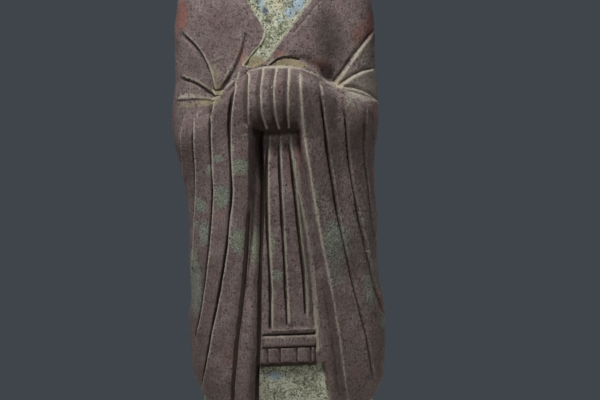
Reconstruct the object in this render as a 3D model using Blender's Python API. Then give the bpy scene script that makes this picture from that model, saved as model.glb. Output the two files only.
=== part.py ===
"""A painted pottery zodiac tomb figurine: a robed human body with its hands hidden in long joined
sleeves, an apron with a pleated fringe, a horse's head, and a low base, all one fired piece.

It stands on the underside of the base, and its origin is the middle of that underside.
The figure faces -Y, and +X is at the right of someone looking at its front.
"""

import math

import bpy
import numpy as np
from mathutils import Vector

# Driving dimensions, in metres.
FIGURE_HEIGHT = 0.390  # from the hem of the skirt to the tips of the ears
BASE_HEIGHT = 0.010
BASE_MARGIN = 0.0045  # how far the base stands out beyond the hem of the skirt
BASE_FRONT_EXTRA = 0.005  # the base reaches this much further forward, under the shoes
BASE_ROUNDING = 0.0025
SINK = 0.001  # how deep joined forms reach into each other

# The free form of the figure. Its sizes are written in millimetres on a figure FORM_HEIGHT tall, with
# heights counted up from the hem of the skirt, and they scale with FIGURE_HEIGHT.
FORM_HEIGHT = 390.0
SCALE = FIGURE_HEIGHT / FORM_HEIGHT

# Half widths of the robe and its sleeves on each side, as (height, half width).
LEFT_WIDTH = (
    (20, 30.0), (26, 36.0), (35, 42.0), (45, 47.2), (56, 52.2), (68, 56.4), (84, 57.6), (95, 57.9),
    (106, 56.6), (129, 56.4), (141, 55.4), (153, 54.3), (165, 54.8), (176, 55.8), (188, 57.4), (200, 60.0),
    (212, 60.7), (224, 59.6), (236, 58.6), (253, 58.6), (263, 58.9), (271, 58.0), (281, 56.6), (289, 52.0),
    (296, 44.5), (302, 35.5), (307, 28.0), (312, 24.0),
)
RIGHT_WIDTH = (
    (20, 33.0), (26, 39.0), (35, 44.5), (43, 48.8), (49, 52.6), (57, 56.4), (66, 56.8), (78, 57.5),
    (90, 57.2), (101, 56.4), (113, 54.9), (125, 54.4), (137, 54.8), (149, 56.0), (172, 56.4), (186, 56.9),
    (196, 58.8), (208, 60.6), (219, 60.9), (231, 60.1), (249, 58.9), (263, 59.0), (272, 58.3), (280, 56.8),
    (287, 52.5), (295, 44.0), (301, 35.5), (306, 28.5), (312, 24.0),
)
SLEEVE_DEPTH = ((20, 38.0), (28, 40.0), (45, 41.0), (80, 42.0), (150, 42.0), (200, 43.0), (240, 42.0))
CHEST_DEPTH = (
    (200, 30.0), (245, 31.0), (263, 30.0), (281, 28.5), (292, 27.0), (300, 25.5), (306, 24.0), (312, 22.0),
)
BACK_DEPTH = (
    (20, 28.0), (27, 31.5), (60, 33.0), (110, 32.0), (160, 30.5), (200, 31.0), (240, 32.5), (270, 32.0),
    (290, 29.0), (300, 27.0), (306, 25.0), (312, 22.5),
)
SKIRT_HALF_WIDTH = ((0, 53.5), (8, 51.8), (20, 50.4), (45, 49.6), (80, 47.0), (120, 40.0))
SKIRT_FRONT = ((0, 38.5), (8, 36.8), (20, 35.5), (45, 34.8), (80, 33.0), (120, 30.0))
SKIRT_BACK = ((0, 34.0), (8, 32.3), (20, 31.0), (45, 29.5), (80, 28.0), (120, 26.0))
SLEEVE_HEM, TOP_OF_ROBE = 22.0, 312.0
ROUNDNESS = 2.44  # the power of the superellipse that each level section follows
SWAY = 1.5  # the body swings this far to each side of its axis
SWAY_MIDDLE, SWAY_LENGTH = 155.0, 200.0

# Where the folds of the sleeves and apron cross seven levels, counted from the middle of the figure.
FOLD_LEVELS = (45, 80, 110, 140, 175, 205, 240)
FOLD_X = {
    "left_edge": (-66.0, -63.0, -61.0, -59.0, -56.1, -54.5, -51.5),
    "left_outer": (-60.0, -57.0, -56.0, -53.1, -48.7, -46.7, -44.0),
    "left_middle": (-62.0, -55.0, -48.4, -43.0, -38.2, -37.7, -34.0),
    "left_front": (-51.9, -45.6, -38.9, -32.2, -26.9, -26.5, -21.3),
    "left_inner": (-32.6, -29.5, -25.1, -20.7, -16.7, -14.9, -14.6),
    "apron_left": (-17.8, -16.5, -15.3, -12.3, -8.6, -7.5, -7.0),
    "apron_1": (-10.6, -10.2, -9.3, -8.8, -6.6, -4.2, -4.0),
    "apron_2": (0.1, 0.0, -0.4, 0.1, 1.2, 1.9, 1.1),
    "apron_3": (10.8, 10.9, 10.9, 9.7, 8.9, 7.1, 6.3),
    "apron_4": (17.1, 16.5, 14.8, 13.3, 9.9, 8.8, 8.0),
    "apron_right": (24.3, 18.6, 16.6, 15.0, 11.4, 10.2, 9.0),
    "right_inner": (33.0, 28.3, 24.0, 20.1, 17.2, 14.7, 13.0),
    "right_front": (52.0, 46.2, 39.5, 34.4, 31.4, 28.7, 25.5),
    "right_middle": (66.0, 61.0, 52.4, 47.5, 42.6, 40.9, 39.7),
    "right_outer": (66.0, 62.0, 58.5, 53.5, 51.7, 50.3, 49.6),
    "right_edge": (66.0, 63.0, 60.5, 58.5, 56.9, 56.2, 55.1),
}
# Each fold is a groove with a raised edge on its right: top, bottom, groove depth, groove half width,
# height of the edge, and how far the edge takes to die away. From SLOT_DEPTH on the groove of an edge is a
# slot, and up to DIP_DEPTH it is a soft dip. A groove without an edge is always soft.
SLOT_DEPTH, DIP_DEPTH = 2.0, 1.6
FOLDS = (
    ("left_edge", 219, 176, 2.1, 0.9, 0.9, 4.0),
    ("left_outer", 221, 122, 2.6, 1.1, 1.0, 5.0),
    ("left_middle", 232, 83, 2.6, 1.1, 1.0, 6.0),
    ("left_front", 243, 50, 2.7, 1.15, 1.2, 6.0),
    ("left_inner", 172, 20, 2.6, 1.6, 0.0, 4.0),
    ("apron_left", 200, 24, 2.8, 1.5, 0.0, 4.0),
    ("apron_1", 205, 86, 2.2, 1.0, 1.4, 3.0),
    ("apron_2", 205, 88, 2.2, 0.9, 1.4, 3.0),
    ("apron_3", 205, 94, 2.3, 1.0, 1.5, 2.0),
    ("apron_4", 190, 71, 1.3, 0.9, 1.7, 1.8),
    ("right_inner", 241, 20, 1.2, 1.6, 1.8, 4.5),
    ("right_inner", 120, 20, 1.4, 2.2, 0.0, 4.5),
    ("right_front", 234, 55, 2.1, 0.8, 0.7, 6.0),
    ("right_front", 222, 150, 1.2, 0.7, 0.0, 6.0),
    ("right_middle", 227, 92, 2.2, 0.8, 0.5, 5.0),
    ("right_middle", 165, 92, 1.8, 1.1, 0.0, 5.0),
    ("right_outer", 219, 132, 2.3, 0.9, 0.3, 4.0),
    ("right_edge", 214, 180, 2.2, 0.9, 0.3, 3.0),
)
# The height over which a fold's edge begins and ends, and over which its groove deepens by a millimetre.
FADE_AT_TOP, FADE_AT_BOTTOM, DEEPENING = 9.0, 4.0, 10.0
# In half widths of a groove: how far its slot reaches left and right of the fold's line and how wide the
# slot's right wall is, how far a dip reaches left and right, and the width over which the edge rises.
SLOT_LEFT, SLOT_RIGHT, SLOT_WALL, DIP_LEFT, DIP_RIGHT, EDGE_RISE = 1.6, 0.7, 0.6, 2.0, 0.4, 0.9
LEAST_LEAN = 0.25  # where the surface turns away, a fold spreads no further than this squareness asks for

# The raised edges that run over the hands, by where they cross four levels.
RIB_LEVELS = (204, 213, 225, 240)
RIBS = ((-16.5, -16.5, -16.5, -15.4), (-6.2, -8.6, -9.3, -7.5), (0.7, -1.0, -1.7, 0.0), (6.4, 6.4, 6.6, 7.2))
RIB_SIZES = (1.6, 1.4, 1.2, 4.0)  # groove depth and half width, height of the edge, how far it dies away
RIB_FADE_TOP, RIB_FADE_BOTTOM = 3.0, 1.5  # the heights over which a rib begins and ends

# The top edge of the joined sleeves, an arch over the hands that ends in the crook of each arm.
ARCH_TOP, ARCH_MIDDLE = 241.0, 4.0
ARCH_REACH_LEFT, ARCH_DROP_LEFT = 42.0, 22.5
ARCH_REACH_RIGHT, ARCH_DROP_RIGHT = 36.0, 15.6
LEFT_FALL, RIGHT_FALL = 0.50, 0.34  # how steeply the sleeves' top edge falls on beyond the crooks
ROLL_RADIUS = 13.0  # rounding of the sleeves' top edge
# Beyond the elbows the arch gives way, over ELBOW_FADE, to a slope that starts ELBOW_ABOVE the arch.
ELBOW_LEFT, ELBOW_RIGHT, ELBOW_FADE, ELBOW_ABOVE, ELBOW_SLOPE = -46.0, 54.0, 12.0, 14.0, 34.0
# The forearms swell below the arch beyond the crooks: where that starts, is full and ends to each side, its
# height on the left and on the right, and over what height it rises and falls away.
FOREARM_START, FOREARM_FULL, FOREARM_END = 36.0, 48.0, 62.0
FOREARM_LEFT, FOREARM_RIGHT, FOREARM_RISE, FOREARM_FALL = 2.0, 4.8, 9.0, 26.0
# The hands under the sleeves: how far they bulge and reach to each side, and the heights where the bulge
# starts and is full. Their own swell over it has a middle height and a half height.
HAND_BULGE, HAND_REACH, HAND_START, HAND_FULL = 8.0, 36.0, 100.0, 190.0
SWELL, SWELL_MIDDLE, SWELL_HALF = 7.0, 222.0, 24.0
# The underside of the joined sleeves: its height, and its rise to the left of UNDER_LEFT.
UNDER_HANDS, UNDER_RISE, UNDER_LEFT = 203.0, 3.5, -4.0
UNDER_RADIUS, UNDER_ROUNDING = 17.0, 8.5  # how high and how deep that underside rounds up to the front

# How far the parts between the sleeves lie behind the sleeves' own surface, as (height, depth).
LEFT_RECESS = ((20, 1.0), (70, 1.6), (110, 3.6), (150, 10.2), (180, 15.5), (203, 18.5))
RIGHT_RECESS = ((20, 1.2), (70, 1.8), (110, 2.4), (150, 3.6), (180, 6.0), (203, 8.0))
APRON_RECESS = ((20, 3.4), (70, 3.6), (110, 4.8), (150, 6.6), (180, 8.6), (203, 11.0))
APRON_LEAN = ((120, 0.0), (180, 1.5), (203, 2.5))  # its left side lies this much deeper and its right less
LEFT_CROWN = 2.4  # the left panel bulges like a roll of cloth
LEFT_FLANK = ((60, 6.5), (85, 4.0), (110, 1.8))  # how wide that roll's right side falls back to the apron
PANEL_EDGE = ((110, 3.0), (160, 4.6), (203, 5.6))  # how wide the left sleeve rounds over into the panel
PANEL_SHARE = 0.25  # the share of that width that lies on the sleeve's side of the fold
APRON_EDGE, RIGHT_EDGE = 1.4, 1.8  # widths of the other steps between the parts
SKIRT_SIDE = 34.0  # the parts between the sleeves cut into the skirt this far to each side

# The apron's lower border: a rib, a flat band and a row of pleats, then a step back to the skirt.
FRINGE_TOP, BAND_TOP, BAND_BOTTOM, FRINGE_BOTTOM = 87.0, 84.0, 77.1, 67.7
PLEAT_GAPS = (-11.6, -4.4, 5.4, 13.6, 16.2)
RIB_HEIGHT, RIB_WIDTH, LINE_DEPTH, LINE_WIDTH, BAND_HEIGHT = 1.0, 1.3, 1.3, 0.7, 0.7
PLEAT_SIZES = (1.5, 0.9, 1.1, 4.0)  # laid out like RIB_SIZES
FRINGE_STEP = 3.2
EDGE = 0.8  # the width over which flat relief starts and ends

# The neck opening. Its edges, as (height, distance from the middle), and its lower end the other way round.
COLLAR_LEFT = (
    (242.3, -18.9), (245.6, -16.2), (250.6, -12.2), (255.5, -7.9), (261.5, -6.3), (267.2, -9.1),
    (273.1, -12.4), (279, -15.3), (292, -20.0), (302, -22.0), (312, -21.0),
)
BAND_INNER = (
    (245, -15.1), (250, -10.9), (257, -7.1), (263, -2.7), (271, 6.4), (280, 15.0), (290, 19.5), (300, 20.5),
    (312, 17.5),
)
BAND_OUTER = (
    (243.8, -3.4), (250.7, 0.9), (256.9, 5.4), (263, 10.5), (270.1, 16.1), (276.4, 21.0), (283, 26.0),
    (291, 30.0), (301, 29.0), (312, 24.0),
)
COLLAR_FOOT = ((-22, 243.5), (-18.9, 241.6), (-15.7, 240.2), (-8.3, 242.6), (-3.8, 244.4), (4, 248.0))
COLLAR_STEP, COLLAR_BAND, COLLAR_RIM = 1.3, 0.8, 0.7
LAPEL_TOP = 261.5  # below here the left edge of the opening is raised too

# Creases of the chest and elbows lie between two levels. Each has an outer end, bend, inner end, depth, half
# width, height of the raised edge beside it, and the side of that edge: 1 above it, -1 below it.
CREASE_BOTTOM, CREASE_TOP = 204.0, 292.0
CREASE_REACH = 2.4  # how far a crease's raised edge takes to die away
CREASE_START = 0.15  # the share of its length over which a crease grows from its outer end
CREASES = (
    ((-57, 264), (-38.0, 248.1), (-36.5, 228.5), 1.8, 1.3, 1.2, 1),
    ((-56.5, 236.4), (-44.9, 233.9), (-36.5, 225.0), 1.3, 1.1, 1.3, 1),
    ((-58, 222.4), (-50, 223.6), (-38.0, 222.0), 0.3, 1.1, 0.7, 1),
    ((-16.5, 262), (-16.5, 247), (-30.5, 228.5), 1.6, 1.9, 0.7, 1),
    ((59.5, 262.5), (45.5, 245.2), (36.4, 230.5), 1.6, 1.0, 1.0, -1),
    ((60.5, 238.5), (47.8, 237.0), (38.5, 228.3), 1.5, 1.0, 1.1, -1),
    ((62, 217), (55.5, 225.4), (41.0, 227.3), 1.2, 1.0, 1.1, -1),
    ((34, 286), (38, 256), (34.6, 233), 2.0, 7.5, 0.0, -1),
    ((6, 246.5), (24, 243), (35.5, 230.0), 1.7, 2.8, 0.0, 1),
    ((15.5, 243.2), (5, 249.0), (-3, 241.0), 0.9, 0.6, 1.0, 1),
    ((29, 279.5), (20.5, 269.5), (11, 259.5), 0.4, 0.8, 0.4, -1),
)
# The hollow in the crook of each arm: place, height, depth and radius.
CROOKS = ((-35.5, 226.0, 2.0, 5.0), (33.0, 233.0, 3.5, 5.5))

# Shallow folds of the back, as (angle from the back's middle in degrees, top, bottom, depth, half width).
BACK_FOLDS = (
    (-64, 225, 24, 2.2, 1.8), (-34, 170, 24, 1.0, 2.0), (-13, 185, 24, 1.1, 2.2), (9, 160, 24, 0.9, 2.0),
    (31, 180, 24, 1.1, 2.2), (63, 225, 24, 2.2, 1.8),
)
SIDE_RADIUS, BACK_RADIUS = 58.0, 38.0  # rough half width and half depth of the body
# The heights over which they begin and end, the share of their depth that their raised edge has, and how
# far that edge takes to die away.
BACK_FADE_TOP, BACK_FADE_BOTTOM, BACK_EDGE, BACK_REACH = 40.0, 6.0, 0.5, 6.0
SKIRT_FOLD_COUNT, SKIRT_FOLD_DEPTH, SKIRT_FOLD_TOP = 19, 1.1, 60.0
# Where the relief of the front begins and over what it becomes full, as cosines of the angle from the front.
FRONT_START, FRONT_BLEND = -0.02, 0.2

# The neck, as (height, middle, half width, half depth). Forward places count from the figure's axis.
NECK = (
    (300, 0.0, 21.0, 19.5), (312, 0.0, 20.2, 19.5), (325, -3.0, 18.4, 18.0), (340, -6.5, 16.8, 16.5),
    (354, -9.0, 15.2, 15.0), (364, -9.5, 12.5, 12.5), (370, -9.0, 8.5, 9.0),
)
# The head, as (share of its length, half width, half height), from the back of the skull to the muzzle.
HEAD_BACK, HEAD_LENGTH, HEAD_PITCH = (-10.0, 366.0), 64.0, 42.0
HEAD = (
    (0.0, 6.5, 6.0), (0.05, 12.0, 10.5), (0.16, 15.8, 14.0), (0.30, 17.2, 16.0), (0.42, 15.4, 14.6),
    (0.58, 12.2, 12.0), (0.75, 10.8, 10.2), (0.88, 11.8, 10.4), (0.95, 10.8, 9.0), (0.985, 8.2, 6.6),
    (1.0, 4.8, 3.8),
)
HEAD_ROUNDNESS = 2.3
# Features of the head, as (share of its length, angle from the brow in degrees, height, radius along, radius
# across). Each is made on both sides.
FEATURES = (
    (0.27, 42, 1.6, 5.0, 4.0),  # brow
    (0.36, 64, -1.4, 5.0, 4.2),  # socket
    (0.32, 122, 2.2, 8.0, 9.0),  # cheek
    (0.54, 96, 0.9, 6.0, 2.0),  # ridge of the face
    (0.91, 52, -2.6, 2.4, 1.8),  # nostril
    (0.90, 52, 1.2, 4.6, 3.6),  # rim of the nostril
    (0.93, 150, 0.9, 4.0, 5.0),  # chin
)
EYE_SHARE, EYE_ANGLE, EYE_RADIUS, EYE_DEPTH = 0.36, 64, 3.4, 1.9  # EYE_DEPTH is how deep the ball is set
MOUTH_ANGLE, MOUTH_DEPTH, MOUTH_HALF_WIDTH, MOUTH_START, MOUTH_FADE = 112, 1.3, 0.9, 0.80, 0.05
# The ears, as (share of their length, half width, half thickness).
EAR = ((0.0, 3.6, 3.0), (0.25, 5.2, 2.8), (0.55, 4.6, 2.2), (0.82, 2.6, 1.5), (1.0, 0.8, 0.7))
EAR_BASE, EAR_TIP = (8.0, -8.0, 364.0), (11.5, -5.0, 390.0)  # side, forward, height
EAR_HOLLOW = 1.5
# The mane, as (forward place, height), from the forelock over the head and down the back of the neck.
MANE = (
    (12.0, 362.5), (8.5, 368.0), (2.0, 372.5), (-6.0, 374.0), (-14.0, 372.0), (-20.5, 366.0), (-24.0, 356.0),
    (-24.5, 344.0), (-22.5, 328.0), (-20.0, 308.0),
)
MANE_HALF_WIDTH, MANE_HALF_HEIGHT, MANE_NOTCH_COUNT, MANE_NOTCH = 3.4, 5.5, 15, 0.6

LEVEL_ROWS = 285.0  # the robe's rows of points follow the arch up to this height
PULL_BLEND = 0.3  # and give that up towards the sides, over this cosine of the angle from the front
# Where the rows lie closer together, as (height, half height, how much closer): at the arch, under the hands
# and at the fringe. Above LEVEL_ROWS they do too, over a ramp.
CLOSER_ROWS = (
    (ARCH_TOP - 2.0, 5.0, 2.2),
    (UNDER_HANDS, 2.5, 2.5),
    (0.5 * (FRINGE_TOP + FRINGE_BOTTOM), 12.0, 1.2),
)
CLOSER_AT_NECK, NECK_RAMP = 3.0, 18.0
# How close the columns of the back lie, against those of the front, and the cosines over which that changes.
BACK_COLUMNS, SIDE_COSINE, SIDE_RAMP = 0.45, -0.25, 0.4
# The first grid of the robe, and how many triangles it keeps.
COLUMN_COUNT, ROW_COUNT, TRIANGLE_COUNT = 260, 230, 5200
# Points around each other form, and along it.
NECK_COUNTS, HEAD_COUNTS, MANE_COUNTS, EAR_COUNTS, BASE_COUNT = (28, 10), (36, 28), (10, 36), (12, 7), 64
SHARP_ANGLE = math.radians(35)
CLAY_COLOUR, CLAY_ROUGHNESS = (0.125, 0.092, 0.088, 1.0), 0.92

# The toes of the shoes: place to each side, forward place, height, and half sizes.
SHOE_X, SHOE_FORWARD, SHOE_Z = 16.0, 33.5, 2.0
SHOE_SIZE = (10.0, 11.5, 6.5)
SHOE_COUNTS, EYE_COUNTS = (16, 8), (12, 8)  # points around, and along


def smooth(t):
    """0 below t = 0, 1 above t = 1, and an even S between."""
    t = np.clip(t, 0.0, 1.0)
    return t * t * (3.0 - 2.0 * t)


def bump(distance, half_width):
    """1 at no distance, dying away like a bell."""
    return np.exp(-((distance / half_width) ** 2))


def through(stations, at):
    """A smooth curve through (place, value) stations, which doesn't overshoot them."""
    place, value = np.array(stations, float).T
    gap = np.diff(place)
    slope = np.diff(value) / gap
    same_way = slope[:-1] * slope[1:]
    total = slope[:-1] + slope[1:]
    inner = np.where(same_way > 0, 2 * same_way / np.where(total == 0, 1.0, total), 0.0)
    tangent = np.concatenate([slope[:1], inner, slope[-1:]])
    at = np.clip(at, place[0], place[-1])
    k = np.clip(np.searchsorted(place, at, side="right") - 1, 0, len(gap) - 1)
    t = (at - place[k]) / gap[k]
    from_low = (1 + 2 * t) * (1 - t) ** 2 * value[k] + t * (1 - t) ** 2 * gap[k] * tangent[k]
    from_high = t * t * (3 - 2 * t) * value[k + 1] + t * t * (t - 1) * gap[k] * tangent[k + 1]
    return from_low + from_high


def oval(angle, half_width, front, back):
    """How far a level section reaches from its axis. Angle 0 faces the front, and +90 degrees is +X."""
    depth = np.where(np.cos(angle) > 0, front, back)
    across = np.abs(np.sin(angle) / half_width) ** ROUNDNESS
    along = np.abs(np.cos(angle) / depth) ** ROUNDNESS
    return (across + along) ** (-1 / ROUNDNESS)


def sway(z):
    """Sideways swing of the body's middle at each height."""
    turn = (z - SWAY_MIDDLE) / SWAY_LENGTH
    return -SWAY * np.sin(2 * math.pi * np.clip(turn, -0.5, 0.5))


def arch(x):
    """Height of the sleeves' top edge across the front."""
    left = np.clip((ARCH_MIDDLE - x) / ARCH_REACH_LEFT, 0, 1) ** 3
    right = np.clip((x - ARCH_MIDDLE) / ARCH_REACH_RIGHT, 0, 1) ** 2
    fall_left = LEFT_FALL * np.maximum(ARCH_MIDDLE - ARCH_REACH_LEFT - x, 0)
    fall_right = RIGHT_FALL * np.maximum(x - ARCH_MIDDLE - ARCH_REACH_RIGHT, 0)
    return ARCH_TOP - ARCH_DROP_LEFT * left - ARCH_DROP_RIGHT * right - fall_left - fall_right


def underside(x):
    """Height of the joined sleeves' underside across the front."""
    return UNDER_HANDS + UNDER_RISE * smooth((UNDER_LEFT - x) / UNDER_RADIUS)


def fold_x(name, z):
    """Where a named fold crosses height z."""
    return through(tuple(zip(FOLD_LEVELS, FOLD_X[name])), z)


def sleeve_share(x, z):
    """0 on the chest and 1 on the sleeves below it: a rounded step at the arch, a slope at the elbows."""
    below = arch(x) - z
    t = np.clip(below / ROLL_RADIUS, 0, 1)
    step = np.sqrt(1 - (1 - t) ** 2)
    slope = smooth((below + ELBOW_ABOVE) / ELBOW_SLOPE)
    outside = smooth((x - ELBOW_RIGHT) / ELBOW_FADE) + smooth((ELBOW_LEFT - x) / ELBOW_FADE)
    return step * (1 - outside) + slope * outside


def recess(x, z):
    """How far the panels, apron and skirt between the sleeves lie behind the sleeves' surface."""
    left, right = through(LEFT_RECESS, z), through(RIGHT_RECESS, z)
    left_inner, apron_left = fold_x("left_inner", z), fold_x("apron_left", z)
    apron_right, right_inner = fold_x("apron_right", z), fold_x("right_inner", z)
    leftward = 1 - 2 * np.clip((x - apron_left) / (apron_right - apron_left), 0, 1)
    apron = through(APRON_RECESS, z) + through(APRON_LEAN, z) * leftward
    apron += FRINGE_STEP * smooth((FRINGE_BOTTOM - z) / EDGE)
    flank, edge = through(LEFT_FLANK, z), through(PANEL_EDGE, z)
    roll = np.clip((x - left_inner) / (apron_left - flank / 2 - left_inner), 0, 1)
    depth = (
        left * smooth((x - left_inner + PANEL_SHARE * edge) / edge)
        + (apron - left) * smooth((x - apron_left - EDGE + flank) / flank)
        + (right - apron) * smooth((x - apron_right) / APRON_EDGE)
        - right * smooth((x - right_inner + RIGHT_EDGE) / RIGHT_EDGE)
        - LEFT_CROWN * np.sin(math.pi * roll)
    )
    between = smooth((x - left_inner) / edge + 0.5) * smooth((right_inner - x) / edge)
    above = z - underside(x)
    turn = np.clip(1 - above / UNDER_RADIUS, 0, 1)
    rounding = UNDER_ROUNDING * (1 - np.sqrt(1 - turn**2)) * between
    under = smooth(0.5 - above / (2 * EDGE))
    return rounding * (1 - under) + depth * under


def pleat(across, depth, width, edge, reach):
    """A fold lying over its neighbour: the cloth dips, or where it is deep drops into a slot, then steps up
    to a raised edge."""
    slot = smooth(across / width + SLOT_LEFT) * smooth((SLOT_RIGHT - across / width) / SLOT_WALL)
    dip = bump(across, np.where(across < 0, DIP_LEFT, DIP_RIGHT) * width)
    groove = dip + (slot - dip) * smooth((depth - DIP_DEPTH) / (SLOT_DEPTH - DIP_DEPTH)) * bool(edge)
    raised = smooth(across / (EDGE_RISE * width)) * np.exp(-np.maximum(across - width, 0) / reach)
    return edge * raised - depth * groove


def fold_lines(x, z, lean):
    """For each named fold and each rib over the hands: how far across it lies, how strongly it shows, and
    its sizes. lean is how squarely the surface faces the front, so that a fold keeps its width where it
    turns away."""
    for name, top, bottom, depth, *sizes in FOLDS:
        across = (x - fold_x(name, z)) / np.sqrt(lean)
        shown = smooth((top - z) / FADE_AT_TOP) * smooth((z - bottom) / FADE_AT_BOTTOM)
        yield across, shown, (depth * smooth((top - z) / (DEEPENING * depth)), *sizes)
    for crossings in RIBS:
        across = (x - through(tuple(zip(RIB_LEVELS, crossings)), z)) / lean
        begun = smooth((arch(x) + 0.5 * EDGE - z) / RIB_FADE_TOP)
        yield across, begun * smooth((z - underside(x)) / RIB_FADE_BOTTOM), RIB_SIZES


def fold_relief(x, z, lean):
    """Grooves and raised edges of the folds and ribs."""
    return sum(shown * pleat(across, *sizes) for across, shown, sizes in fold_lines(x, z, lean))


def fringe_relief(x, z):
    """The rib, the band and the row of pleats along the apron's lower edge."""
    left, right = fold_x("apron_left", z) + 2 * EDGE, fold_x("apron_4", z) + 0.5 * EDGE
    inside = smooth((x - left) / EDGE) * smooth((right - x) / EDGE)
    rib = RIB_HEIGHT * bump(z - FRINGE_TOP, RIB_WIDTH) * smooth((x - fold_x("apron_1", z)) / RIB_WIDTH)
    band = BAND_HEIGHT * smooth((BAND_TOP - z) / EDGE) * smooth((z - BAND_BOTTOM) / EDGE)
    line = bump(z - BAND_TOP - 0.5 * EDGE, LINE_WIDTH) + bump(z - BAND_BOTTOM, LINE_WIDTH)
    pleats = smooth((BAND_BOTTOM - 0.5 * EDGE - z) / EDGE) * smooth((z - FRINGE_BOTTOM) / EDGE)
    gaps = sum(pleat(x - gap, *PLEAT_SIZES) for gap in PLEAT_GAPS)
    return inside * (rib + band - LINE_DEPTH * line + pleats * gaps)


def collar_relief(x, z):
    """The neck opening, cut back from the robe, with the raised band along its right side."""
    above = smooth((z - through(COLLAR_FOOT, x)) / (2 * EDGE) + 0.5)
    outer = through(BAND_OUTER, z)
    opening = smooth((x - through(COLLAR_LEFT, z)) / EDGE) * smooth((outer - x) / EDGE)
    in_band = smooth((x - through(BAND_INNER, z)) / EDGE) * smooth((outer - x) / EDGE)
    rim = in_band * bump(x - outer + 1.5 * EDGE, EDGE)
    lapel = opening * bump(x - through(COLLAR_LEFT, z) - EDGE, EDGE) * smooth((LAPEL_TOP - z) / EDGE)
    return above * (COLLAR_BAND * in_band + COLLAR_RIM * (rim + 2.0 * lapel) - COLLAR_STEP * opening)


def crease_lines(x, z):
    """For each crease: the distance from it, that distance on the side of its raised edge or no distance on
    the other one, how strongly it shows, and its sizes."""
    samples = np.linspace(0, 1, 25)
    for start, bend, end, *sizes in CREASES:
        weights = np.stack([(1 - samples) ** 2, 2 * samples * (1 - samples), samples**2])
        path = weights.T @ np.array([start, bend, end], float)
        near = np.full(x.shape, 1e9)
        side = np.zeros_like(x)
        along = np.zeros_like(x)
        side_of_edge = sizes.pop()
        for i, (a, b) in enumerate(zip(path[:-1], path[1:])):
            step = b - a
            t = np.clip(((x - a[0]) * step[0] + (z - a[1]) * step[1]) / (step @ step), 0, 1)
            dx, dz = x - a[0] - t * step[0], z - a[1] - t * step[1]
            distance = np.hypot(dx, dz)
            closer = distance < near
            near = np.where(closer, distance, near)
            side = np.where(closer, np.sign(dz), side)
            along = np.where(closer, (i + t) / len(samples), along)
        yield near, np.where(side == side_of_edge, near, 0.0), smooth(along / CREASE_START), sizes


def forearm_relief(x, z):
    """The roll of each forearm below the arch, beyond the crook."""
    below = arch(x) - z
    rise = np.clip(below / FOREARM_RISE, 0, 1)
    roll = np.sqrt(1 - (1 - rise) ** 2) * smooth(1 - (below - FOREARM_RISE) / FOREARM_FALL)
    roll *= smooth((np.abs(x) - FOREARM_START) / (FOREARM_FULL - FOREARM_START))
    roll *= smooth((FOREARM_END - np.abs(x)) / (FOREARM_END - FOREARM_FULL))
    return np.where(x < 0, FOREARM_LEFT, FOREARM_RIGHT) * roll


def crease_relief(x, z):
    """Creases of the chest and elbows, and the hollow in the crook of each arm."""
    relief = np.zeros_like(x)
    for near, beside, shown, (depth, width, edge) in crease_lines(x, z):
        relief -= depth * shown * bump(near, width)
        fading = np.exp(-np.maximum(beside - width, 0) / CREASE_REACH)
        relief += edge * shown * smooth(beside / width) * fading
    for crook_x, crook_z, depth, radius in CROOKS:
        relief -= depth * bump(np.hypot(x - crook_x, z - crook_z), radius)
    return relief


def back_relief(angle, z):
    """Shallow folds down the back."""
    relief = np.zeros_like(z)
    for degrees, top, bottom, depth, width in BACK_FOLDS:
        middle = math.pi + math.radians(degrees)
        turn = np.mod(angle, 2 * math.pi) - middle
        across = turn * BACK_RADIUS
        shown = smooth((top - z) / BACK_FADE_TOP) * smooth((z - bottom) / BACK_FADE_BOTTOM)
        relief -= depth * shown * bump(across, width)
        fading = np.exp(-np.maximum(across - width, 0) / BACK_REACH)
        relief += BACK_EDGE * depth * shown * smooth(across / width) * fading
    return relief


def plain_body(angle, z):
    """The body without its relief, for arrays of angle and height: its places sideways and in depth, where
    it is robe and not skirt, and the share of the sleeves in it."""
    half_width = np.where(np.sin(angle) < 0, through(LEFT_WIDTH, z), through(RIGHT_WIDTH, z))
    sleeve, chest = through(SLEEVE_DEPTH, z), through(CHEST_DEPTH, z)
    guess = oval(angle, half_width, sleeve, sleeve) * np.sin(angle)
    share = sleeve_share(guess, z)
    robe = oval(angle, half_width, chest + (sleeve - chest) * share, through(BACK_DEPTH, z))
    skirt = oval(angle, through(SKIRT_HALF_WIDTH, z), through(SKIRT_FRONT, z), through(SKIRT_BACK, z))
    skirt = skirt + SKIRT_FOLD_DEPTH * np.cos(angle * SKIRT_FOLD_COUNT) * smooth(1 - z / SKIRT_FOLD_TOP)
    robe = np.where(z < SLEEVE_HEM, 0.0, robe)
    skirt = np.where(z > SKIRT_HALF_WIDTH[-1][0], 0.0, skirt)
    reach = np.maximum(robe, skirt)
    return reach * np.sin(angle), -reach * np.cos(angle), robe > skirt, share


def facing_out(x, y):
    """The level direction out of the body at each point, and how squarely it faces the front or the back."""
    step_x, step_y = np.gradient(x, axis=1), np.gradient(y, axis=1)
    length = np.hypot(step_x, step_y)
    return step_y / length, -step_x / length, np.maximum(np.abs(step_x) / length, LEAST_LEAN)


def at_front(angle):
    """1 on the front of the figure, 0 on its back."""
    return smooth((np.cos(angle) - FRONT_START) / FRONT_BLEND)


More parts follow.
